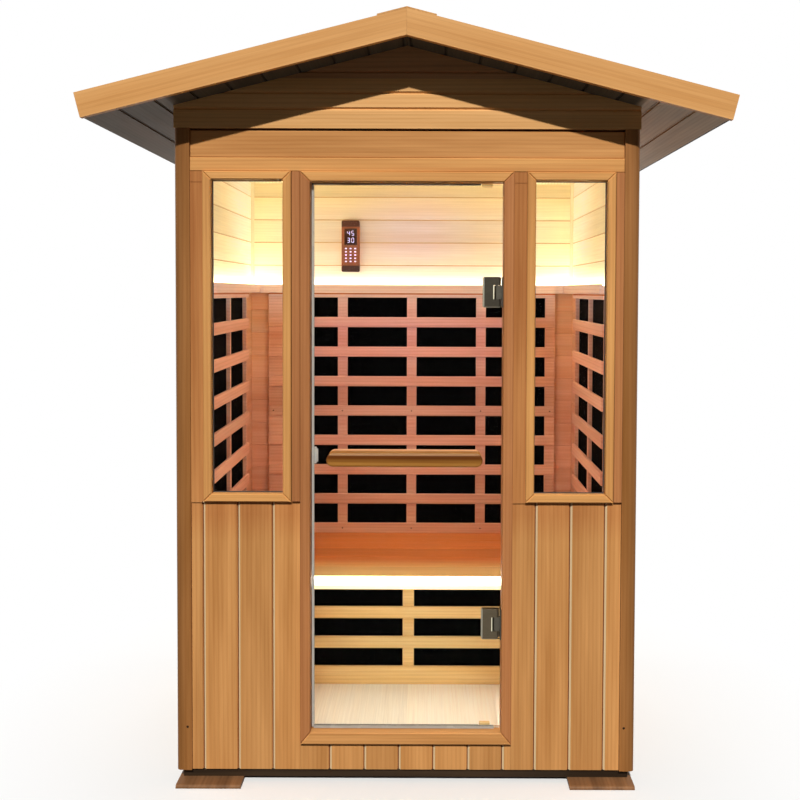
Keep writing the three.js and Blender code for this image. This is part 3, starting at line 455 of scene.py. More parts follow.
def timber(name, wood, across="X", along="Z", first=0.0, pitch=ONE_BOARD, groove=0.0, gap=None, tilt=0.0,
           mitre=None, gloss=0.48, lines=0.27, lit=0.6, slot="groove", reach=None, changes=(), shade=None):
    """Oiled wood: pale and deep wood by tone, growth lines and fibres, a tone for each board, dark joints.
    Joints stay between the two heights of reach. Each change (axis, start, end, wood) turns to another wood
    from start to end along X, Y or Z, or along the distance "aside" from the middle of X; many of the changes
    paint light and shade into the wood. Shade (start, end, share) darkens the wood along that distance as
    painted shade."""
    material, tree, shader, place = new_material(name)
    parts = axes(tree, place)
    parts["aside"] = maths(tree, "ABSOLUTE", parts["X"])
    grain = mitred(tree, place, *mitre) if mitre else turned(tree, place, across, along, tilt)
    board = placed_group(
        tree, "board_layout", Position=grain, First=first, Pitch=pitch, Groove=groove, Gap=gap or groove
    )
    figure = placed_group(tree, "timber_figure", Position=grain, Shift=board["Shift"])
    joint, bevel = board["Slot"], board["Bevel"]
    pale, deep = woods(wood)
    for axis, start, end, other in changes:
        share = spread(tree, parts[axis], start, end)
        pale, deep = (mixed(tree, share, *pair) for pair in zip((pale, deep), woods(other)))
    if reach:
        level = apart(tree, parts["Z"], (reach[0] + reach[1]) / 2)
        within = maths(tree, "LESS_THAN", level, (reach[1] - reach[0]) / 2)
        joint, bevel = (maths(tree, "MULTIPLY", mask, within) for mask in (joint, bevel))
    colour = mixed(tree, spread(tree, figure["Tone"], 0.3, 0.7), deep, pale)
    late = mixed(tree, 1.0, colour, (0.70, 0.55, 0.42), "MULTIPLY")
    colour = mixed(tree, maths(tree, "MULTIPLY", figure["Lines"], lines), colour, late)
    value = maths(
        tree, "ADD", spread(tree, board["Board"], 0, 1, -0.09, 0.09),
        spread(tree, figure["Fibre"], 0.3, 0.7, 0.94, 1.06),
    )
    if shade:
        value = maths(tree, "MULTIPLY", value, spread(tree, parts["aside"], *shade[:2], 1, shade[2]))
    grey = put(tree, "ShaderNodeCombineColor", {0: value, 1: value, 2: value}).outputs[0]
    colour = mixed(tree, 1.0, colour, grey, "MULTIPLY")
    if groove:
        joints = bpy.context.scene.cabin_colours
        colour = mixed(tree, joint, colour, getattr(joints, slot))
        colour = mixed(tree, maths(tree, "MULTIPLY", bevel, lit), colour, joints.bevel)
    fill(tree, shader, {
        "Base Color": colour,
        "Roughness": spread(tree, figure["Fibre"], 0.25, 0.75, gloss - 0.06, gloss + 0.1),
        "Normal": bumped(tree, figure["Height"], 0.0004, 0.35),
        "Specular IOR Level": 0.12,
    })
    return material


def brushed(name, colour, streak, shade, rough, bump, tone="Patches", metallic=0.0):
    """A colour and its shade told apart by streaks or patches, gloss by patches, and streaks in relief."""
    material, tree, shader, place = new_material(name)
    brush = placed_group(tree, "satin_brush", Position=place, Streak=streak)
    fill(tree, shader, {
        "Base Color": mixed(tree, spread(tree, brush[tone], 0.3, 0.7), tinted(colour, shade), colour),
        "Roughness": spread(tree, brush["Patches"], 0.3, 0.7, *rough),
        "Normal": bumped(tree, brush["Streaks"], *bump),
        "Metallic": metallic,
    })
    return material


def satin_metal(name, colour, rough=0.34):
    """Brushed metal: streaks change colour and gloss a little."""
    return brushed(name, colour, 900.0, 0.72, (rough - 0.06, rough + 0.08), (0.00005, 0.2), "Streaks", 1.0)


def clamp_metal(name, node, colour, rim, polish):
    """Dark satin metal of a hinge clamp: a lighter rim as a painted highlight where its free edge and foot are
    eased, and a painted highlight in a line beside the pocket that takes the knuckle. Both are told by
    distances from the clamp's box."""
    material = satin_metal(name, colour, 0.4)
    tree = material.node_tree
    parts = axes(tree, object_place(tree))
    low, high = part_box(node)
    free = spread(tree, parts["X"], low[0] + 0.003, low[0] + 0.0045, 1, 0)
    foot = spread(tree, parts["Z"], low[2] + 0.0015, low[2] + 0.003, 0.5, 0)
    repaint(tree, maths(tree, "MAXIMUM", free, foot), rim)
    pocket_edge, half_height = 0.0315, 0.0205
    across = apart(tree, parts["X"], low[0] + pocket_edge)
    within = maths(tree, "LESS_THAN", apart(tree, parts["Z"], (low[2] + high[2]) / 2), half_height)
    repaint(tree, maths(tree, "MULTIPLY", spread(tree, across, 0.0006, 0.002, 1, 0), within), polish)
    return material


def moulded(name, colour, rough=0.45, shade=0.8):
    """Moulded plastic or rubber: a fine grain and soft worn patches."""
    return brushed(name, colour, 1400.0, shade, (rough - 0.05, rough + 0.1), (0.00008, 0.25))


def control_case(name, colour, cap_colour):
    """Copper-brown case with darker end caps: the caps are told by their height."""
    material = brushed(name, colour, 1200.0, 0.8, (0.3, 0.42), (0.00006, 0.2))
    tree, cap_height = material.node_tree, 0.024
    low, high = (corner[2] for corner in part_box("control_panel"))
    level = apart(tree, axes(tree, object_place(tree))["Z"], (low + high) / 2)
    repaint(tree, maths(tree, "GREATER_THAN", level, (high - low) / 2 - cap_height), cap_colour)
    return material


def clear_glass(name):
    """Clear glass with the faintest haze."""
    material, tree, shader, place = new_material(name)
    fill(tree, shader, {
        "Base Color": mixed(tree, noise(tree, place, 2.0), (0.985, 1.0, 0.99), (1.0, 1.0, 1.0)),
        "Roughness": spread(tree, noise(tree, place, 5.0, 4.0, 0.6), 0.45, 0.8, 0.0, 0.02),
        "Transmission Weight": 1.0,
        "IOR": 1.06,
    })
    return material


def carbon_heater(name, colour):
    """Black carbon film: a faint weave of two wave patterns, and a dull sheen."""
    material, tree, shader, place = new_material(name)
    thread = {"Vector": place, "Scale": 60.0}
    weave = maths(tree, "MULTIPLY", *(
        put(tree, "ShaderNodeTexWave", thread, bands_direction=axis).outputs[1] for axis in ("DIAGONAL", "Z")
    ))
    fill(tree, shader, {
        "Base Color": mixed(tree, weave, colour, tinted(colour, 3.2)),
        "Roughness": spread(tree, weave, 0, 1, 0.68, 0.8),
        "Normal": bumped(tree, weave, 0.0002, 0.3),
        "Specular IOR Level": 0.012,
    })
    return material


def glowing_strip(name, colour, amount, fade=None, side=None):
    """Diffuser over a row of lamps: a soft brighter spot every 16.7 mm. A fade (low, high) gives heights
    between which it turns from dim and yellow to full, and side (reach, colour) the glow past a reach in X."""
    material, tree, shader, place = new_material(name)
    row = put(tree, "ShaderNodeTexWave", {"Vector": place, "Scale": 18.8}, bands_direction="X").outputs[1]
    cover = glow = mixed(tree, row, tinted(colour, (1.0, 0.88, 0.72)), colour)
    parts = axes(tree, place)
    if fade:
        dim = tinted(colour, (0.06, 0.047, 0.023))
        glow = mixed(tree, spread(tree, parts["Z"], *fade), dim, glow)
    if side:
        beyond = maths(tree, "GREATER_THAN", maths(tree, "ABSOLUTE", parts["X"]), side[0])
        glow = mixed(tree, beyond, glow, side[1])
    fill(tree, shader, {
        "Base Color": cover, "Emission Color": glow, "Emission Strength": amount, "Roughness": 0.4
    })
    return material


def chipped_shingle(name, colour):
    """Stone-chipped shingle: chips of random shade over slow stains."""
    material, tree, shader, place = new_material(name)
    chips = placed_group(tree, "stone_chips", Position=place, Chip=520.0)
    stained = mixed(tree, spread(tree, chips["Stain"], 0.35, 0.65), tinted(colour, 0.7), colour)
    bright = mixed(tree, 1.0, stained, (1.9, 1.8, 1.7), "MULTIPLY")
    fill(tree, shader, {
        "Base Color": mixed(tree, maths(tree, "POWER", chips["Shade"], 2.0), stained, bright),
        "Roughness": spread(tree, chips["Shade"], 0, 1, 0.8, 0.95),
        "Normal": bumped(tree, chips["Height"], 0.0008, 0.6),
    })
    return material


def assign(material, *names):
    """Gives CAD nodes a material."""
    for name in names:
        slots = frame["nodes"][name].data.materials
        slots.clear()
        slots.append(material)


# Meshes

def lofted(rings, offsets=((0, 0, 0),)):
    """Closed bodies from rings of points carried along a path: each body is the same stack of rings, moved by
    one offset. Sides join ring to ring, and the two end rings are capped."""
    rings = np.asarray(rings, float)
    offsets = np.asarray(offsets, float)
    count, around = rings.shape[:2]
    points = (rings[None] + offsets[:, None, None, :]).reshape(-1, 3)
    here = np.arange(count * around).reshape(count, around)
    beside = np.roll(here, -1, 1)
    sides = np.stack([here[:-1], beside[:-1], beside[1:], here[1:]], -1).reshape(-1, 4)
    caps = np.stack([here[0, ::-1], here[-1]])
    jump = (np.arange(len(offsets)) * here.size)[:, None, None]
    return points, (sides[None] + jump).reshape(-1, 4), (caps[None] + jump).reshape(-1, around)


def carried(outline, plane, axis, reach, offsets=((0, 0, 0),)):
    """Bodies of one outline in its plane, or of one outline for each end, carried along an axis from the
    first value of reach to the second."""
    rings = np.zeros((2, np.shape(outline)[-2], 3))
    rings[..., plane] = outline
    rings[..., axis] = np.array(reach)[:, None]
    return lofted(rings, offsets)


def swept(profile, corners):
    """A profile of (out, depth) pairs carried round a rectangle in X and Z, mitred at its corners: a corner's
    point moves out along both axes by the profile's first value, and along Y by its second."""
    profile = np.asarray(profile, float)
    corners = np.asarray(corners, float)
    signs = np.sign(corners[:, [0, 2]] - corners[:, [0, 2]].mean(0))
    points = np.repeat(corners[:, None], len(profile), 1)
    points[..., 0] += signs[:, None, 0] * profile[None, :, 0]
    points[..., 2] += signs[:, None, 1] * profile[None, :, 0]
    points[..., 1] += profile[None, :, 1]
    here = np.arange(points.size // 3).reshape(points.shape[:2])
    beside = np.roll(here, -1, 1)
    sides = np.stack([here, beside, np.roll(beside, -1, 0), np.roll(here, -1, 0)], -1).reshape(-1, 4)
    return points.reshape(-1, 3), sides, np.empty((0, 4), int)


def quarter_round(radius, steps=7):
    """Outline of a quarter circle with its centre: the corner, then radius times cosine and sine."""
    angle = np.linspace(0, math.pi / 2, steps)
    return np.concatenate([[[0, 0]], radius * np.stack([np.cos(angle), np.sin(angle)], -1)])


def rounded(width, height, radius, steps=4):
    """Outline of a rectangle with round corners: a quarter circle about each corner's centre."""
    angle = np.linspace(0, math.pi / 2, steps + 1)
    quarter = np.arange(4)[:, None] * math.pi / 2 + angle[None]
    signs = np.array([[1, 1], [-1, 1], [-1, -1], [1, -1]])
    centres = signs * np.array([width / 2 - radius, height / 2 - radius])
    ring = centres[:, None] + radius * np.stack([np.cos(quarter), np.sin(quarter)], -1)
    return ring.reshape(-1, 2)


def pillow(low, high, edge, axis):
    """An eased block: a rounded outline carried along one axis, drawn in by the edge at both ends."""
    low, high = np.asarray(low, float), np.asarray(high, float)
    plane = [i for i in range(3) if i != axis]
    size = (high - low)[plane]
    outline = rounded(size[0], size[1], min(edge, *(size / 2.01)))
    shrink = 1 - 2 * edge / size
    reach = np.array([low[axis], low[axis] + edge, high[axis] - edge, high[axis]])
    rings = np.zeros((4, len(outline), 3))
    scale = np.stack([shrink, [1, 1], [1, 1], shrink])
    rings[..., plane] = outline[None] * scale[:, None] + ((low + high) / 2)[plane]
    rings[..., axis] = reach[:, None]
    return lofted(rings)


def screw_heads(places, radius, outward):
    """Pan heads with a dimple: a profile of radius and height turned about Y, its outward side 1 or -1."""
    profile = np.array([[1, 0], [1, 0.18], [0.86, 0.38], [0.6, 0.46], [0.34, 0.46], [0.26, 0.2]]) * radius
    angle = np.linspace(0, 2 * math.pi, 16, endpoint=False)
    rings = np.zeros((len(profile), len(angle), 3))
    rings[..., (0, 2)] = profile[:, :1, None] * np.stack([np.cos(angle), np.sin(angle)], -1)
    rings[..., 1] = profile[:, 1:] * outward
    return lofted(rings, places)


def joined(*bodies):
    """Several sets of points and faces as one set."""
    jumps = np.cumsum([0] + [len(body[0]) for body in bodies])
    points = np.concatenate([body[0] for body in bodies])
    sides, caps = (
        np.concatenate([body[part] + jump for body, jump in zip(bodies, jumps)]) for part in (1, 2)
    )
    return points, sides, caps


def make_piece(name, mesh_parts, material, body):
    """One object from points, side faces and end faces, riding a body with its material."""
    points, sides, caps = mesh_parts
    mesh = bpy.data.meshes.new(name)
    mesh.from_pydata(points.tolist(), [], sides.tolist() + caps.tolist())
    build = bmesh.new()
    build.from_mesh(mesh)
    bmesh.ops.recalc_face_normals(build, faces=build.faces)
    build.to_mesh(mesh)
    build.free()
    mesh.shade_smooth()
    mesh.set_sharp_from_angle(angle=SHARP)
    mesh.materials.append(material)
    piece = bpy.data.objects.new(name, mesh)
    bpy.context.scene.collection.objects.link(piece)
    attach(piece, body)


class CABIN_OT_outer_timber(bpy.types.Operator):
    """Wood of the front, sides, back, posts, frames and roof edges"""

    bl_idname = "cabin.outer_timber"
    bl_label = "Outer timber"

    def execute(self, context):
        for name, wood, across, along, *nodes in (
            ("frieze", "cedar", "Z", "X", "front_frieze_board"),
            ("top_rail", "trim", "Z", "X", "front_top_rail"),
            ("door_trim_flat", "trim", "Z", "X", "door_head"),
            ("door_trim_sill", "cedar", "Z", "X", "door_sill"),
            ("door_trim_upright", "jamb", "X", "Z", "door_jamb_left", "door_jamb_right"),
            ("ridge", "barge", "X", "Y", "ridge_cap"),
            ("runner", "runner", "X", "Y", "left_runner", "right_runner"),
            ("plinth", "plinth", "Z", "X", "base_frame"),
        ):
            assign(timber(name, wood, across, along), *nodes)
        # The lower front boards darken towards the window frames above them: painted shade.
        front = {"reach": (0.0, 0.8345), "changes": (("Z", 0.715, 0.795, "stain"),)}
        for name, across, first, more in (
            ("front_left_panel", "X", -0.5957, front),
            ("front_right_panel", "X", 0.3808, front),
            ("front_sill_panel", "X", -0.224, front),
            ("left_wall_panel", "Y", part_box("left_wall_panel")[0][1] + 0.026, {}),
            ("right_wall_panel", "Y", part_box("right_wall_panel")[0][1] + 0.026, {}),
            ("back_wall_panel", "X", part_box("back_wall_panel")[0][0] + 0.068, {}),
        ):
            assign(timber(name, "cedar", across, first=first, **more, **OUTSIDE), name)
        # Below about 2.065 m the gable boards turn paler: painted sunlight under the painted shade of the
        # barge boards.
        foot = ("Z", 2.0655, 2.0645, "sunlit_gable_foot")
        gable = timber("gable_boards", "gable", "Z", "X", first=1.9633, pitch=0.061, changes=(foot,))
        assign(gable, "gable_front", "gable_rear")
        # The posts darken towards their rounded outer edges: painted shade.
        posts = timber("post", "post", pitch=0.5, shade=(0.645, 0.676, 0.62))
        assign(posts, *(f"post_{end}_{side}" for end in ("front", "rear") for side in SIDES))
        for side, sign in zip(SIDES, (-1, 1)):
            window = f"{side}_window_frame"
            assign(timber(f"{side}_window_trim", "trim", mitre=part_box(window)), window)
            barge = timber(f"barge_{side}", "barge", "Z", "X", tilt=-sign * ROOF_PITCH, lines=0.14)
            assign(barge, f"barge_front_{side}", f"barge_rear_{side}")
            # Painted shadow over the gable between the eaves, and shaded and lit copies of one wood at the
            # left and right eaves.
            eaves, fascia = ("aside", 0.655, 0.675, f"{side}_soffit"), ("aside", EAVE, EAVE + 0.0005, "cedar")
            soffit = timber(
                f"soffit_{side}", "verge", "X", "Y", first=sign * EAVE, pitch=0.09884, groove=0.004, lit=0.0,
                slot="soffit_joint", gloss=0.6, changes=(eaves, fascia),
            )
            assign(soffit, f"roof_panel_{side}")
        return {"FINISHED"}


class CABIN_OT_inner_timber(bpy.types.Operator):
    """Wood of the lining, guards, bench, floor and handles"""

    bl_idname = "cabin.inner_timber"
    bl_label = "Inner timber"

    def execute(self, context):
        self.line_walls()
        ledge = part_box("back_guard")[1][2]
        rows = {"first": 0.5103, "pitch": GUARD_PITCH}
        # Painted light on the back guard's lower and upper slats, and painted shade at its outer ends.
        slats = (
            ("Z", 0.95, 0.55, "guard_foot"),
            ("Z", 1.05, 1.32, "guard_top"),
            ("aside", 0.42, 0.46, "low_nook"),
        )
        # Painted light on the guards' top boards, with a painted shadow line under them.
        top_board = (
            ("Z", 1.32, 1.455, "ledge"),
            ("Z", ledge - 0.0372, ledge - 0.0370, "reveal"),
            ("Z", ledge - 0.0324, ledge - 0.0322, "ledge"),
        )
        assign(timber("guard_back", "guard", "Z", "X", changes=slats + top_board, **rows), "back_guard")
        side = timber("guard_side", "side_guard", "Z", "Y", changes=top_board, **rows)
        assign(side, "left_guard", "right_guard")
        assign(timber("bench_guard", "slat", "Z", "X", first=0.145, pitch=0.09), "bench_front_guard")
        front = ("Y", 0.06, -0.10, "slat")
        seat = timber("bench_top", "seat", "Y", "X", first=-0.03, pitch=0.123, changes=(front,), lines=0.1)
        assign(seat, "bench_seat")
        assign(timber("ledger", "seat", "Z", "X"), "bench_ledger")
        assign(timber("floor", "floor", "X", "Y", lines=0.05), "floor_panel")
        self.finish_handles()
        return {"FINISHED"}

    def line_walls(self):
        """Inner boards with painted light and shade: painted light makes them bright above the guards' top
        boards, rosy in the middle of the back wall, yellow under the ceiling, whiter towards the rear of the
        side walls and glowing at the corners; painted shade makes them warm behind the guards and darker low
        down.
        """
        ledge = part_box("back_guard")[1][2]
        low = (
            ("Z", ledge + 0.15, ledge + 0.02, "bright"),
            ("Z", ledge - 0.007, ledge - 0.027, "nook"),
            ("Z", 1.38, 1.0, "low_nook"),
        )
        boards = {
            "first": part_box("back_wall_lining")[0][2] + 0.198, "groove": 0.0024, "lit": 0.3,
            "reach": (ledge - 0.01, 2.0), **LINING,
        }
        changes = (("aside", 0.06, 0.26, "lining"), CORNER_PAINTED_GLOW, ("Z", 1.72, 1.88, "high"), *low)
        assign(timber("lining_back", "rosy", "Z", "X", changes=changes, **boards), "back_wall_lining")
        changes = (CORNER_PAINTED_GLOW, ("Y", -0.05, 0.22, "rear"), *low)
        side = timber("lining_side", "lining", "Z", "Y", changes=changes, **boards)
        assign(side, "left_wall_lining", "right_wall_lining")
        assign(timber("ceiling", "lining", "Y", "X", groove=0.002, **LINING), "ceiling_panel")

    def finish_handles(self):
        """Handles with a painted highlight along the upper edge; the outer handle's dark wood is painted shade
        and its paler lower side painted light. Each change runs between two shares of the height below the
        top.
        """
        foot, top = (corner[2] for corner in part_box("handle_outer"))
        highlit = {"handle_highlight": (0.14, 0.05), "handle_lit_foot": (0.32, 0.72)}
        for node, name, wood, lines, shares in (
            ("handle_outer", "handle", "handle", 0.4, highlit),
            ("handle_inner", "inner_handle", "grip", 0.27, {"grip_highlight": (0.10, 0.03)}),
        ):
            changes = [
                ("Z", *(top - share * (top - foot) for share in pair), other)
                for other, pair in shares.items()
            ]
            assign(timber(name, wood, "Z", "X", gloss=0.5, lines=lines, changes=changes), node)


class CABIN_OT_cover_strips(bpy.types.Operator):
    """Strips with eased edges beside the windows, a narrow gap left of them"""

    bl_idname = "cabin.cover_strips"
    bl_label = "Cover strips"

    def execute(self, context):
        gap, room, proud, sunk = 0.0014, 0.0003, 0.0046, 0.0009
        bodies = []
        for side in SIDES:
            window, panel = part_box(f"{side}_window_frame"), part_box(f"front_{side}_panel")
            low = (window[1][0] + gap, window[0][1] + proud, window[0][2] + room)
            high = (panel[1][0] - room, panel[0][1] + sunk, window[1][2])
            bodies.append(pillow(low, high, EASE, 2))
        make_piece("cover_strips", joined(*bodies), timber("cover_strip", "jamb"), "cabin")
        return {"FINISHED"}


class CABIN_OT_fitting_finishes(bpy.types.Operator):
    """Glass, metal, heaters, light strips, control panel and shingles"""

    bl_idname = "cabin.fitting_finishes"
    bl_label = "Fitting finishes"

    def execute(self, context):
        c, fittings = context.scene.cabin_colours, context.scene.cabin_fittings
        assign(clear_glass("glass"), "door_glass", "left_window_pane", "right_window_pane")
        assign(satin_metal("steel", c.steel), "hinge_upper_leaf", "hinge_lower_leaf")
        # Each clamp takes its own colour: a shaded copy above and a lit copy below.
        for at, colour in (("upper", c.upper_clamp), ("lower", c.lower_clamp)):
            node = f"hinge_{at}_clamp"
            assign(clamp_metal(f"{at}_clamp_metal", node, colour, c.rim, c.polish), node)
        assign(moulded("catch", c.catch), "door_catch")
        heaters = (f"{place}_heater" for place in ("back", "left", "right", "bench"))
        assign(carbon_heater("carbon", c.heater), *heaters)
        strip_depth = 0.0102
        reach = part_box("wall_light_strip")[1][0] - strip_depth
        side = (reach, tinted(c.side_light, fittings.side_gain))
        assign(glowing_strip("wall_glow", c.light, fittings.glow, side=side), "wall_light_strip")
        low, high = (corner[2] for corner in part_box("bench_light_strip"))
        fade = (0.7 * low + 0.3 * high, 0.3 * low + 0.7 * high)
        assign(glowing_strip("bench_glow", c.light, fittings.bench_glow, fade), "bench_light_strip")
        assign(control_case("control", c.panel, c.panel_cap), "control_panel")
        assign(moulded("power_case", c.power_case), "power_unit")
        assign(chipped_shingle("shingle", c.shingle), "roof_shingles")
        return {"FINISHED"}


class CABIN_OT_door_seals(bpy.types.Operator):
    """Clear channels over the latch edge and the lower edge of the door glass"""

    bl_idname = "cabin.door_seals"
    bl_label = "Door seals"

    def execute(self, context):
        low, high = (np.array(corner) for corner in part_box("door_glass"))
        wall, room, hinge_end = context.scene.cabin_fittings.seal_wall, 0.0001, 0.2615
        inner = (low[1] - room, high[1] + room)
        outer = (inner[0] - wall, inner[1] + wall)
        upright = self.channel(low[0], outer, inner, room, below=0.0042, above=0.0024)
        flat = self.channel(low[2], outer, inner, room, below=0.0034, above=0.004)
        edge = carried(upright, (0, 1), 2, (low[2] + 0.001, high[2] - 0.002))
        foot = carried(flat, (2, 1), 0, (low[0] + 0.0012, hinge_end))
        clear = moulded("clear_seal", context.scene.cabin_colours.seal, 0.22, 0.92)
        make_piece("door_seal", joined(edge, foot), clear, "door")
        return {"FINISHED"}

    def channel(self, edge, outer, inner, room, below, above):
        """Outline of a channel round an edge: its back lies below the edge, its two legs reach above it."""
        back, floor, tip = edge - below, edge - room, edge + above
        return np.array([
            [back, outer[0]], [tip, outer[0]], [tip, inner[0]], [floor, inner[0]],
            [floor, inner[1]], [tip, inner[1]], [tip, outer[1]], [back, outer[1]],
        ])


class CABIN_OT_door_stops(bpy.types.Operator):
    """Rubber strip and a wood stop block under the door head and on the sill"""

    bl_idname = "cabin.door_stops"
    bl_label = "Door stops"

    def execute(self, context):
        head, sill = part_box("door_head")[0][2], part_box("door_sill")[1][2]
        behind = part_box("door_glass")[1][1] + 0.0022
        rubber = moulded("rubber", context.scene.cabin_colours.gasket, 0.6)
        block = timber("stop_block", "slat", "Z", "X")
        for name, material, (start, end), depths, drop, rise in (
            ("door_rubber", rubber, (-0.2808, 0.217), (0.008, 0.006), 0.006, 0.0075),
            ("stop_blocks", block, (0.2185, 0.2505), (0.014, 0.014), 0.010, 0.015),
        ):
            bodies = joined(
                pillow((start, behind, head - drop), (end, behind + depths[0], head - CLEAR), EASE, 0),
                pillow((start, behind, sill + CLEAR), (end, behind + depths[1], sill + rise), EASE, 0),
            )
            make_piece(name, bodies, material, "cabin")
        return {"FINISHED"}


class CABIN_OT_pane_gaskets(bpy.types.Operator):
    """Rubber bead between each window pane and its frame"""

    bl_idname = "cabin.pane_gaskets"
    bl_label = "Pane gaskets"

    def execute(self, context):
        rubber = moulded("pane_rubber", context.scene.cabin_colours.gasket, 0.6)
        profile = -quarter_round(context.scene.cabin_fittings.bead) - [0.0001, CLEAR]
        rebate = np.array([0.0077, 0, 0.0077])
        for side in SIDES:
            low, high = (np.array(corner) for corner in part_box(f"{side}_window_pane"))
            (x0, front, z0), (x1, _, z1) = low + rebate, high - rebate
            corners = [(x0, front, z0), (x1, front, z0), (x1, front, z1), (x0, front, z1)]
            make_piece(f"{side}_pane_gasket", swept(profile, corners), rubber, "cabin")
        return {"FINISHED"}


class CABIN_OT_screws(bpy.types.Operator):
    """Screw heads on the hinge clamps, the posts and the heater guards"""

    bl_idname = "cabin.screws"
    bl_label = "Screws"

    def execute(self, context):
        c, fittings = context.scene.cabin_colours, context.scene.cabin_fittings
        steel = satin_metal("screw_steel", c.steel)
        dark = satin_metal("dark_screw", c.dark_screw, 0.5)
        hinge_line, hinges, half_spacing = 0.234, {"lower": 0.468, "upper": 1.45}, 0.028
        clamps = [
            (hinge_line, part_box(f"hinge_{at}_clamp")[1][1], middle + rise)
            for at, middle in hinges.items() for rise in (-half_spacing, half_spacing)
        ]
        make_piece("clamp_screws", screw_heads(clamps, fittings.screw_radius, 1), steel, "door")
        post_line, post_level = 0.6436, 0.165
        posts = [(x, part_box("post_front_left")[0][1], post_level) for x in (-post_line, post_line)]
        make_piece("post_screws", screw_heads(posts, fittings.screw_radius, -1), dark, "cabin")
        guard_face, half_row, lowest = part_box("back_heater")[0][1] - 0.0217, 0.5365, 0.5295
        grid = np.meshgrid(np.linspace(-half_row, half_row, 5), lowest + GUARD_PITCH * np.array([0, 4]))
        places = np.stack([grid[0], np.full_like(grid[0], guard_face), grid[1]], -1).reshape(-1, 3)
        make_piece("guard_screws", screw_heads(places, fittings.guard_screw, -1), dark, "cabin")
        return {"FINISHED"}


class CABIN_OT_control_face(bpy.types.Operator):
    """Display window, lit figures and touch keys on the control panel"""

    bl_idname = "cabin.control_face"
    bl_label = "Control face"

    def execute(self, context):
        c, fittings = context.scene.cabin_colours, context.scene.cabin_fittings
        low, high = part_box("control_panel")
        middle, face = (low[0] + high[0]) / 2, low[1] + 0.003
        half, foot, top, depth, edge = 0.024, 1.631, 1.694, 0.0012, 0.0004
        window = pillow((middle - half, face - depth, foot), (middle + half, face - CLEAR, top), edge, 1)
        make_piece("control_window", window, moulded("display_glass", c.display, 0.12), "cabin")
        glow = glowing_strip("display_glow", c.figure, fittings.figure_glow)
        bars = joined(*(
            self.figure(digit, (middle + x, face - 0.0014, z))
            for z, digits in ((1.676, (4, 5)), (1.649, (3, 0))) for digit, x in zip(digits, (-0.008, 0.008))
        ))
        make_piece("control_figures", bars, glow, "cabin")
        grid = np.meshgrid(np.linspace(-0.018, 0.018, 3), np.linspace(1.567, 1.617, 5))
        places = np.stack([middle + grid[0], np.full_like(grid[0], face - CLEAR), grid[1]], -1).reshape(-1, 3)
        taper = np.array([1.0, 0.86])[:, None, None]
        key = rounded(0.0074, 0.0048, 0.0014) * taper
        make_piece("control_keys", carried(key, (0, 2), 1, (0, -0.0008), places), glow, "cabin")
        return {"FINISHED"}

    def figure(self, digit, place):
        """One figure of seven bars: three lie at heights -1, 0, 1, four stand beside them."""
        lit = {0: "abcdef", 3: "abcdg", 4: "bcfg", 5: "acdfg"}[digit]
        centres = {
            "a": (0, 1), "g": (0, 0), "d": (0, -1),
            "f": (-1, 0.5), "b": (1, 0.5), "e": (-1, -0.5), "c": (1, -0.5),
        }
        half, lying = np.array([0.0042, 0.0085]), np.array([0.0033, 0.0009])
        corners = np.array([[1, 1], [-1, 1], [-1, -1], [1, -1]])
        outlines = (
            corners * (lying if label in "agd" else lying[::-1]) + np.array(centres[label]) * half
            for label in lit
        )
        return joined(*(carried(outline, (0, 2), 1, (0, -0.0004), [place]) for outline in outlines))


class CABIN_OT_corner_beads(bpy.types.Operator):
    """Quarter-round beads in the inner corners above the guards and under the ceiling"""

    bl_idname = "cabin.corner_beads"
    bl_label = "Corner beads"

    def execute(self, context):
        side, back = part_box("right_wall_lining")[0][0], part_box("back_wall_lining")[0][1]
        top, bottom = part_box("ceiling_panel")[0][2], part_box("back_guard")[1][2] + 0.0005
        bead = quarter_round(context.scene.cabin_fittings.corner_bead) + CLEAR
        stop, end = 0.0125, 0.0005
        bodies = []
        for sign in (-1, 1):
            out = [sign, 1]
            upright = (np.array([side, back]) - bead) * out
            bodies.append(carried(upright, (0, 1), 2, (bottom, top - stop)))
            level = (np.array([side, top]) - bead) * out
            bodies.append(carried(level, (0, 2), 1, (-back + 0.001, back - stop)))
        bodies.append(carried(np.array([back, top]) - bead, (1, 2), 0, (-side + end, side - end)))
        # The beads take the painted light at the corners as well.
        wood = timber("corner_bead", "lining", changes=(CORNER_PAINTED_GLOW,))
        make_piece("corner_beads", joined(*bodies), wood, "cabin")
        return {"FINISHED"}


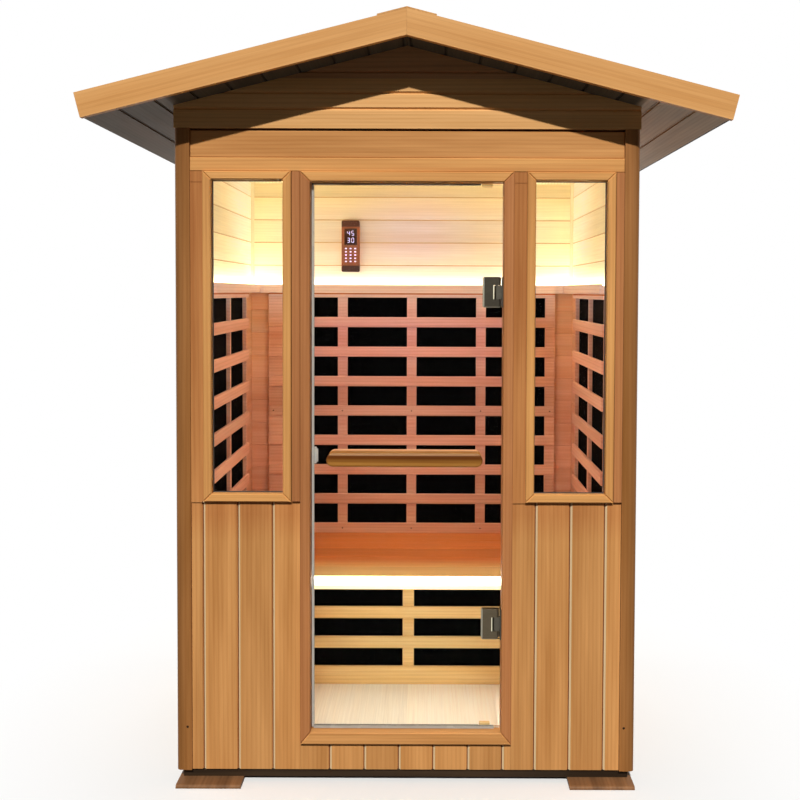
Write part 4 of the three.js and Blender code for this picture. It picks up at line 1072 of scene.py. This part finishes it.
class CABIN_OT_shingle_tabs(bpy.types.Operator):
    """Tabs on the shingle courses, slit from each other and staggered from course to course"""

    bl_idname = "cabin.shingle_tabs"
    bl_label = "Shingle tabs"

    def execute(self, context):
        c = context.scene.cabin_fittings
        (_, front, _), (_, rear, _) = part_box("roof_shingles")
        courses, exposure, overhang = 6, 0.140, 0.002
        eave = EAVE / math.cos(ROOF_PITCH) + overhang
        step = (rear - front) / c.tab_count
        chance = np.random.default_rng(7)
        bodies = []
        for course in range(courses):
            edges = front + step * (np.arange(c.tab_count + 1) - 0.5 * (course % 2))
            edges = np.clip(np.append(edges, rear), front, rear)
            for start, end in zip(edges[:-1], edges[1:]):
                if end - start > 3 * c.tab_gap:
                    lift = c.tab_thickness * chance.uniform(0.75, 1.0)
                    span = (start + c.tab_gap / 2, end - c.tab_gap / 2)
                    bodies.extend(self.tab(eave - exposure * course, exposure, span, lift))
        make_piece("shingle_tabs", joined(*bodies), bpy.data.materials["shingle"], "cabin")
        return {"FINISHED"}

    def tab(self, butt, exposure, span, lift):
        """One tab and its mirror image: its outline lies on the course, whose height falls from the butt to
        the head, and the ring above it is drawn in by a millimetre."""
        apex, base, slope, clipped = 2.160, 0.0633, 0.0058, 0.008
        head, shoulder, foot = butt - exposure + 0.002, butt - 0.010, butt - 0.0005
        down = np.array([head, head, shoulder, foot, foot, shoulder])
        inward = np.array([1, -1, -1, -1, 1, 1])
        along = np.array([span[0], span[1], span[1], span[1], span[0], span[0]])
        along = along + inward * clipped * np.array([0, 0, 0, 1, 1, 0])
        rise = base + slope * (down - butt + exposure) / exposure
        rings = []
        for height, draw in ((0.0001, 0.0), (lift, 0.001)):
            d, h = down - draw * np.array([-1, -1, 1, 1, 1, 1]), rise + height
            x = d * math.cos(ROOF_PITCH) + h * math.sin(ROOF_PITCH)
            z = apex - d * math.sin(ROOF_PITCH) + h * math.cos(ROOF_PITCH)
            rings.append(np.stack([x, along + draw * inward, z], -1))
        right = np.array(rings)
        return lofted(right), lofted(right * [-1, 1, 1])


class CABIN_OT_stage(bpy.types.Operator):
    """Floor, lamps, background and camera"""

    bl_idname = "cabin.stage"
    bl_label = "Stage"

    def execute(self, context):
        scene = context.scene
        c = scene.cabin_stage
        self.lay_floor(c)
        self.hang_lamps(c)
        self.paint_world(scene, c)
        camera = bpy.data.objects.new("camera", bpy.data.cameras.new("camera"))
        camera.data.lens = c.lens
        camera.data.sensor_fit = "HORIZONTAL"
        camera.data.shift_x, camera.data.shift_y = c.shift
        turn = Matrix.Rotation(math.pi / 2 - c.pitch, 4, "X") @ Matrix.Rotation(c.roll, 4, "Z")
        camera.matrix_world = Matrix.Translation(c.eye) @ turn
        scene.collection.objects.link(camera)
        scene.camera = camera
        scene.view_settings.view_transform = "Standard"
        return {"FINISHED"}

    def lay_floor(self, c):
        """A flat grid under the cabin that fades to the background away from it."""
        half, count, below = 9, 13, -0.0005
        line = np.linspace(-half, half, count)
        grid = np.stack([*np.meshgrid(line, line), np.full((count, count), below)], -1).reshape(-1, 3)
        first = np.arange(count * count).reshape(count, count)[:-1, :-1].reshape(-1, 1)
        mesh = bpy.data.meshes.new("stage_floor")
        mesh.from_pydata(grid.tolist(), [], (first + np.array([[0, 1, count + 1, count]])).tolist())
        floor = bpy.data.objects.new("stage_floor", mesh)
        bpy.context.scene.collection.objects.link(floor)
        material, tree, shader, place = new_material("stage_floor")
        far = spread(tree, vectors(tree, "LENGTH", place)["Value"], 0.75, 1.5)
        ray = background_ray(tree)
        pale = mixed(tree, noise(tree, place, 3.0), c.pale, tinted(c.pale, 0.985))
        shaded = (0.07, 0.069, 0.067)  # Throws little light back at the cabin
        fill(tree, shader, {
            "Base Color": mixed(tree, ray, shaded, pale), "Roughness": 0.9, "Specular IOR Level": 0.1
        })
        white = put(tree, "ShaderNodeEmission", {"Color": (1, 1, 1, 1), "Strength": 1.0}).outputs[0]
        fade = {0: maths(tree, "MULTIPLY", far, ray), 1: shader.outputs[0], 2: white}
        blend = put(tree, "ShaderNodeMixShader", fade).outputs[0]
        tree.links.new(blend, tree.nodes["Material Output"].inputs["Surface"])
        mesh.materials.append(material)

    def hang_lamps(self, c):
        """A main lamp from the front, high enough for the barge boards to shade the gable, soft lamps at both
        sides and the back that leave the front alone, and a small lamp in the room below the wall light."""
        main = self.hang("main_lamp", "SUN", c.sun, (0, -4, 4), (math.radians(48.6), 0, math.radians(-2)))
        main.angle = math.radians(1.2)
        quarter = math.pi / 2
        for name, place, turn in (
            ("left_lamp", (-4.0, 0.8, 1.1), -quarter), ("right_lamp", (4.0, 0.8, 1.1), quarter),
            ("back_lamp", (0.0, 4.0, 1.1), 2 * quarter),
        ):
            self.hang(name, "AREA", c.fill, place, (quarter, 0, turn)).size = 2.0
        inner = self.hang("inner_lamp", "AREA", c.inner, (0, -0.05, 1.445), (0, 0, 0))
        inner.size = 0.6
        inner.color = (1.0, 0.80, 0.72)

    def hang(self, name, kind, energy, place, turn):
        """One lamp at a place, turned from pointing down."""
        lamp = bpy.data.lights.new(name, kind)
        lamp.energy = energy
        holder = bpy.data.objects.new(name, lamp)
        holder.location = place
        holder.rotation_euler = turn
        holder.visible_camera = holder.visible_transmission = False
        bpy.context.scene.collection.objects.link(holder)
        return lamp

    def paint_world(self, scene, c):
        """White where a camera, glossy or transmission ray sees it, and a soft light otherwise."""
        world = bpy.data.worlds.new("studio")
        world.use_nodes = True
        tree = world.node_tree
        soft = fill(tree, tree.nodes["Background"], {"Color": (1.0, 0.985, 0.96, 1), "Strength": c.sky})
        white = put(tree, "ShaderNodeBackground", {"Color": (1, 1, 1, 1), "Strength": 1.0})
        sockets = {0: background_ray(tree), 1: soft.outputs[0], 2: white.outputs[0]}
        blend = put(tree, "ShaderNodeMixShader", sockets)
        tree.links.new(blend.outputs[0], tree.nodes["World Output"].inputs["Surface"])
        scene.world = world


class CABIN_PT_panel(bpy.types.Panel):
    """The cabin's operators"""

    bl_idname = "CABIN_PT_panel"
    bl_label = "Sauna cabin"
    bl_space_type = "VIEW_3D"
    bl_region_type = "UI"
    bl_category = "Cabin"

    def draw(self, context):
        for operator in OPERATORS:
            self.layout.operator(operator.bl_idname)


OPERATORS = (
    CABIN_OT_outer_timber,
    CABIN_OT_inner_timber,
    CABIN_OT_cover_strips,
    CABIN_OT_fitting_finishes,
    CABIN_OT_door_seals,
    CABIN_OT_door_stops,
    CABIN_OT_pane_gaskets,
    CABIN_OT_screws,
    CABIN_OT_control_face,
    CABIN_OT_corner_beads,
    CABIN_OT_shingle_tabs,
    CABIN_OT_stage,
)
SETTINGS = {
    "cabin_timber": CabinTimber,
    "cabin_colours": CabinColours,
    "cabin_fittings": CabinFittings,
    "cabin_stage": CabinStage,
}


def register():
    """Registers the settings, operators and panel."""
    for group in (*SETTINGS.values(), *OPERATORS, CABIN_PT_panel):
        bpy.utils.register_class(group)
    for name, group in SETTINGS.items():
        setattr(bpy.types.Scene, name, PointerProperty(type=group))


def unregister():
    """Takes the settings, operators and panel away again."""
    for name in SETTINGS:
        delattr(bpy.types.Scene, name)
    for group in reversed((*SETTINGS.values(), *OPERATORS, CABIN_PT_panel)):
        bpy.utils.unregister_class(group)


def main():
    """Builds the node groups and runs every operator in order."""
    register()
    build_board_group()
    build_figure_group()
    build_chip_group()
    build_brush_group()
    bpy.ops.cabin.outer_timber()
    bpy.ops.cabin.inner_timber()
    bpy.ops.cabin.cover_strips()
    bpy.ops.cabin.fitting_finishes()
    bpy.ops.cabin.door_seals()
    bpy.ops.cabin.door_stops()
    bpy.ops.cabin.pane_gaskets()
    bpy.ops.cabin.screws()
    bpy.ops.cabin.control_face()
    bpy.ops.cabin.corner_beads()
    bpy.ops.cabin.shingle_tabs()
    bpy.ops.cabin.stage()
    bpy.context.view_layer.update()
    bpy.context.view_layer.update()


if __name__ == "__main__":
    main()
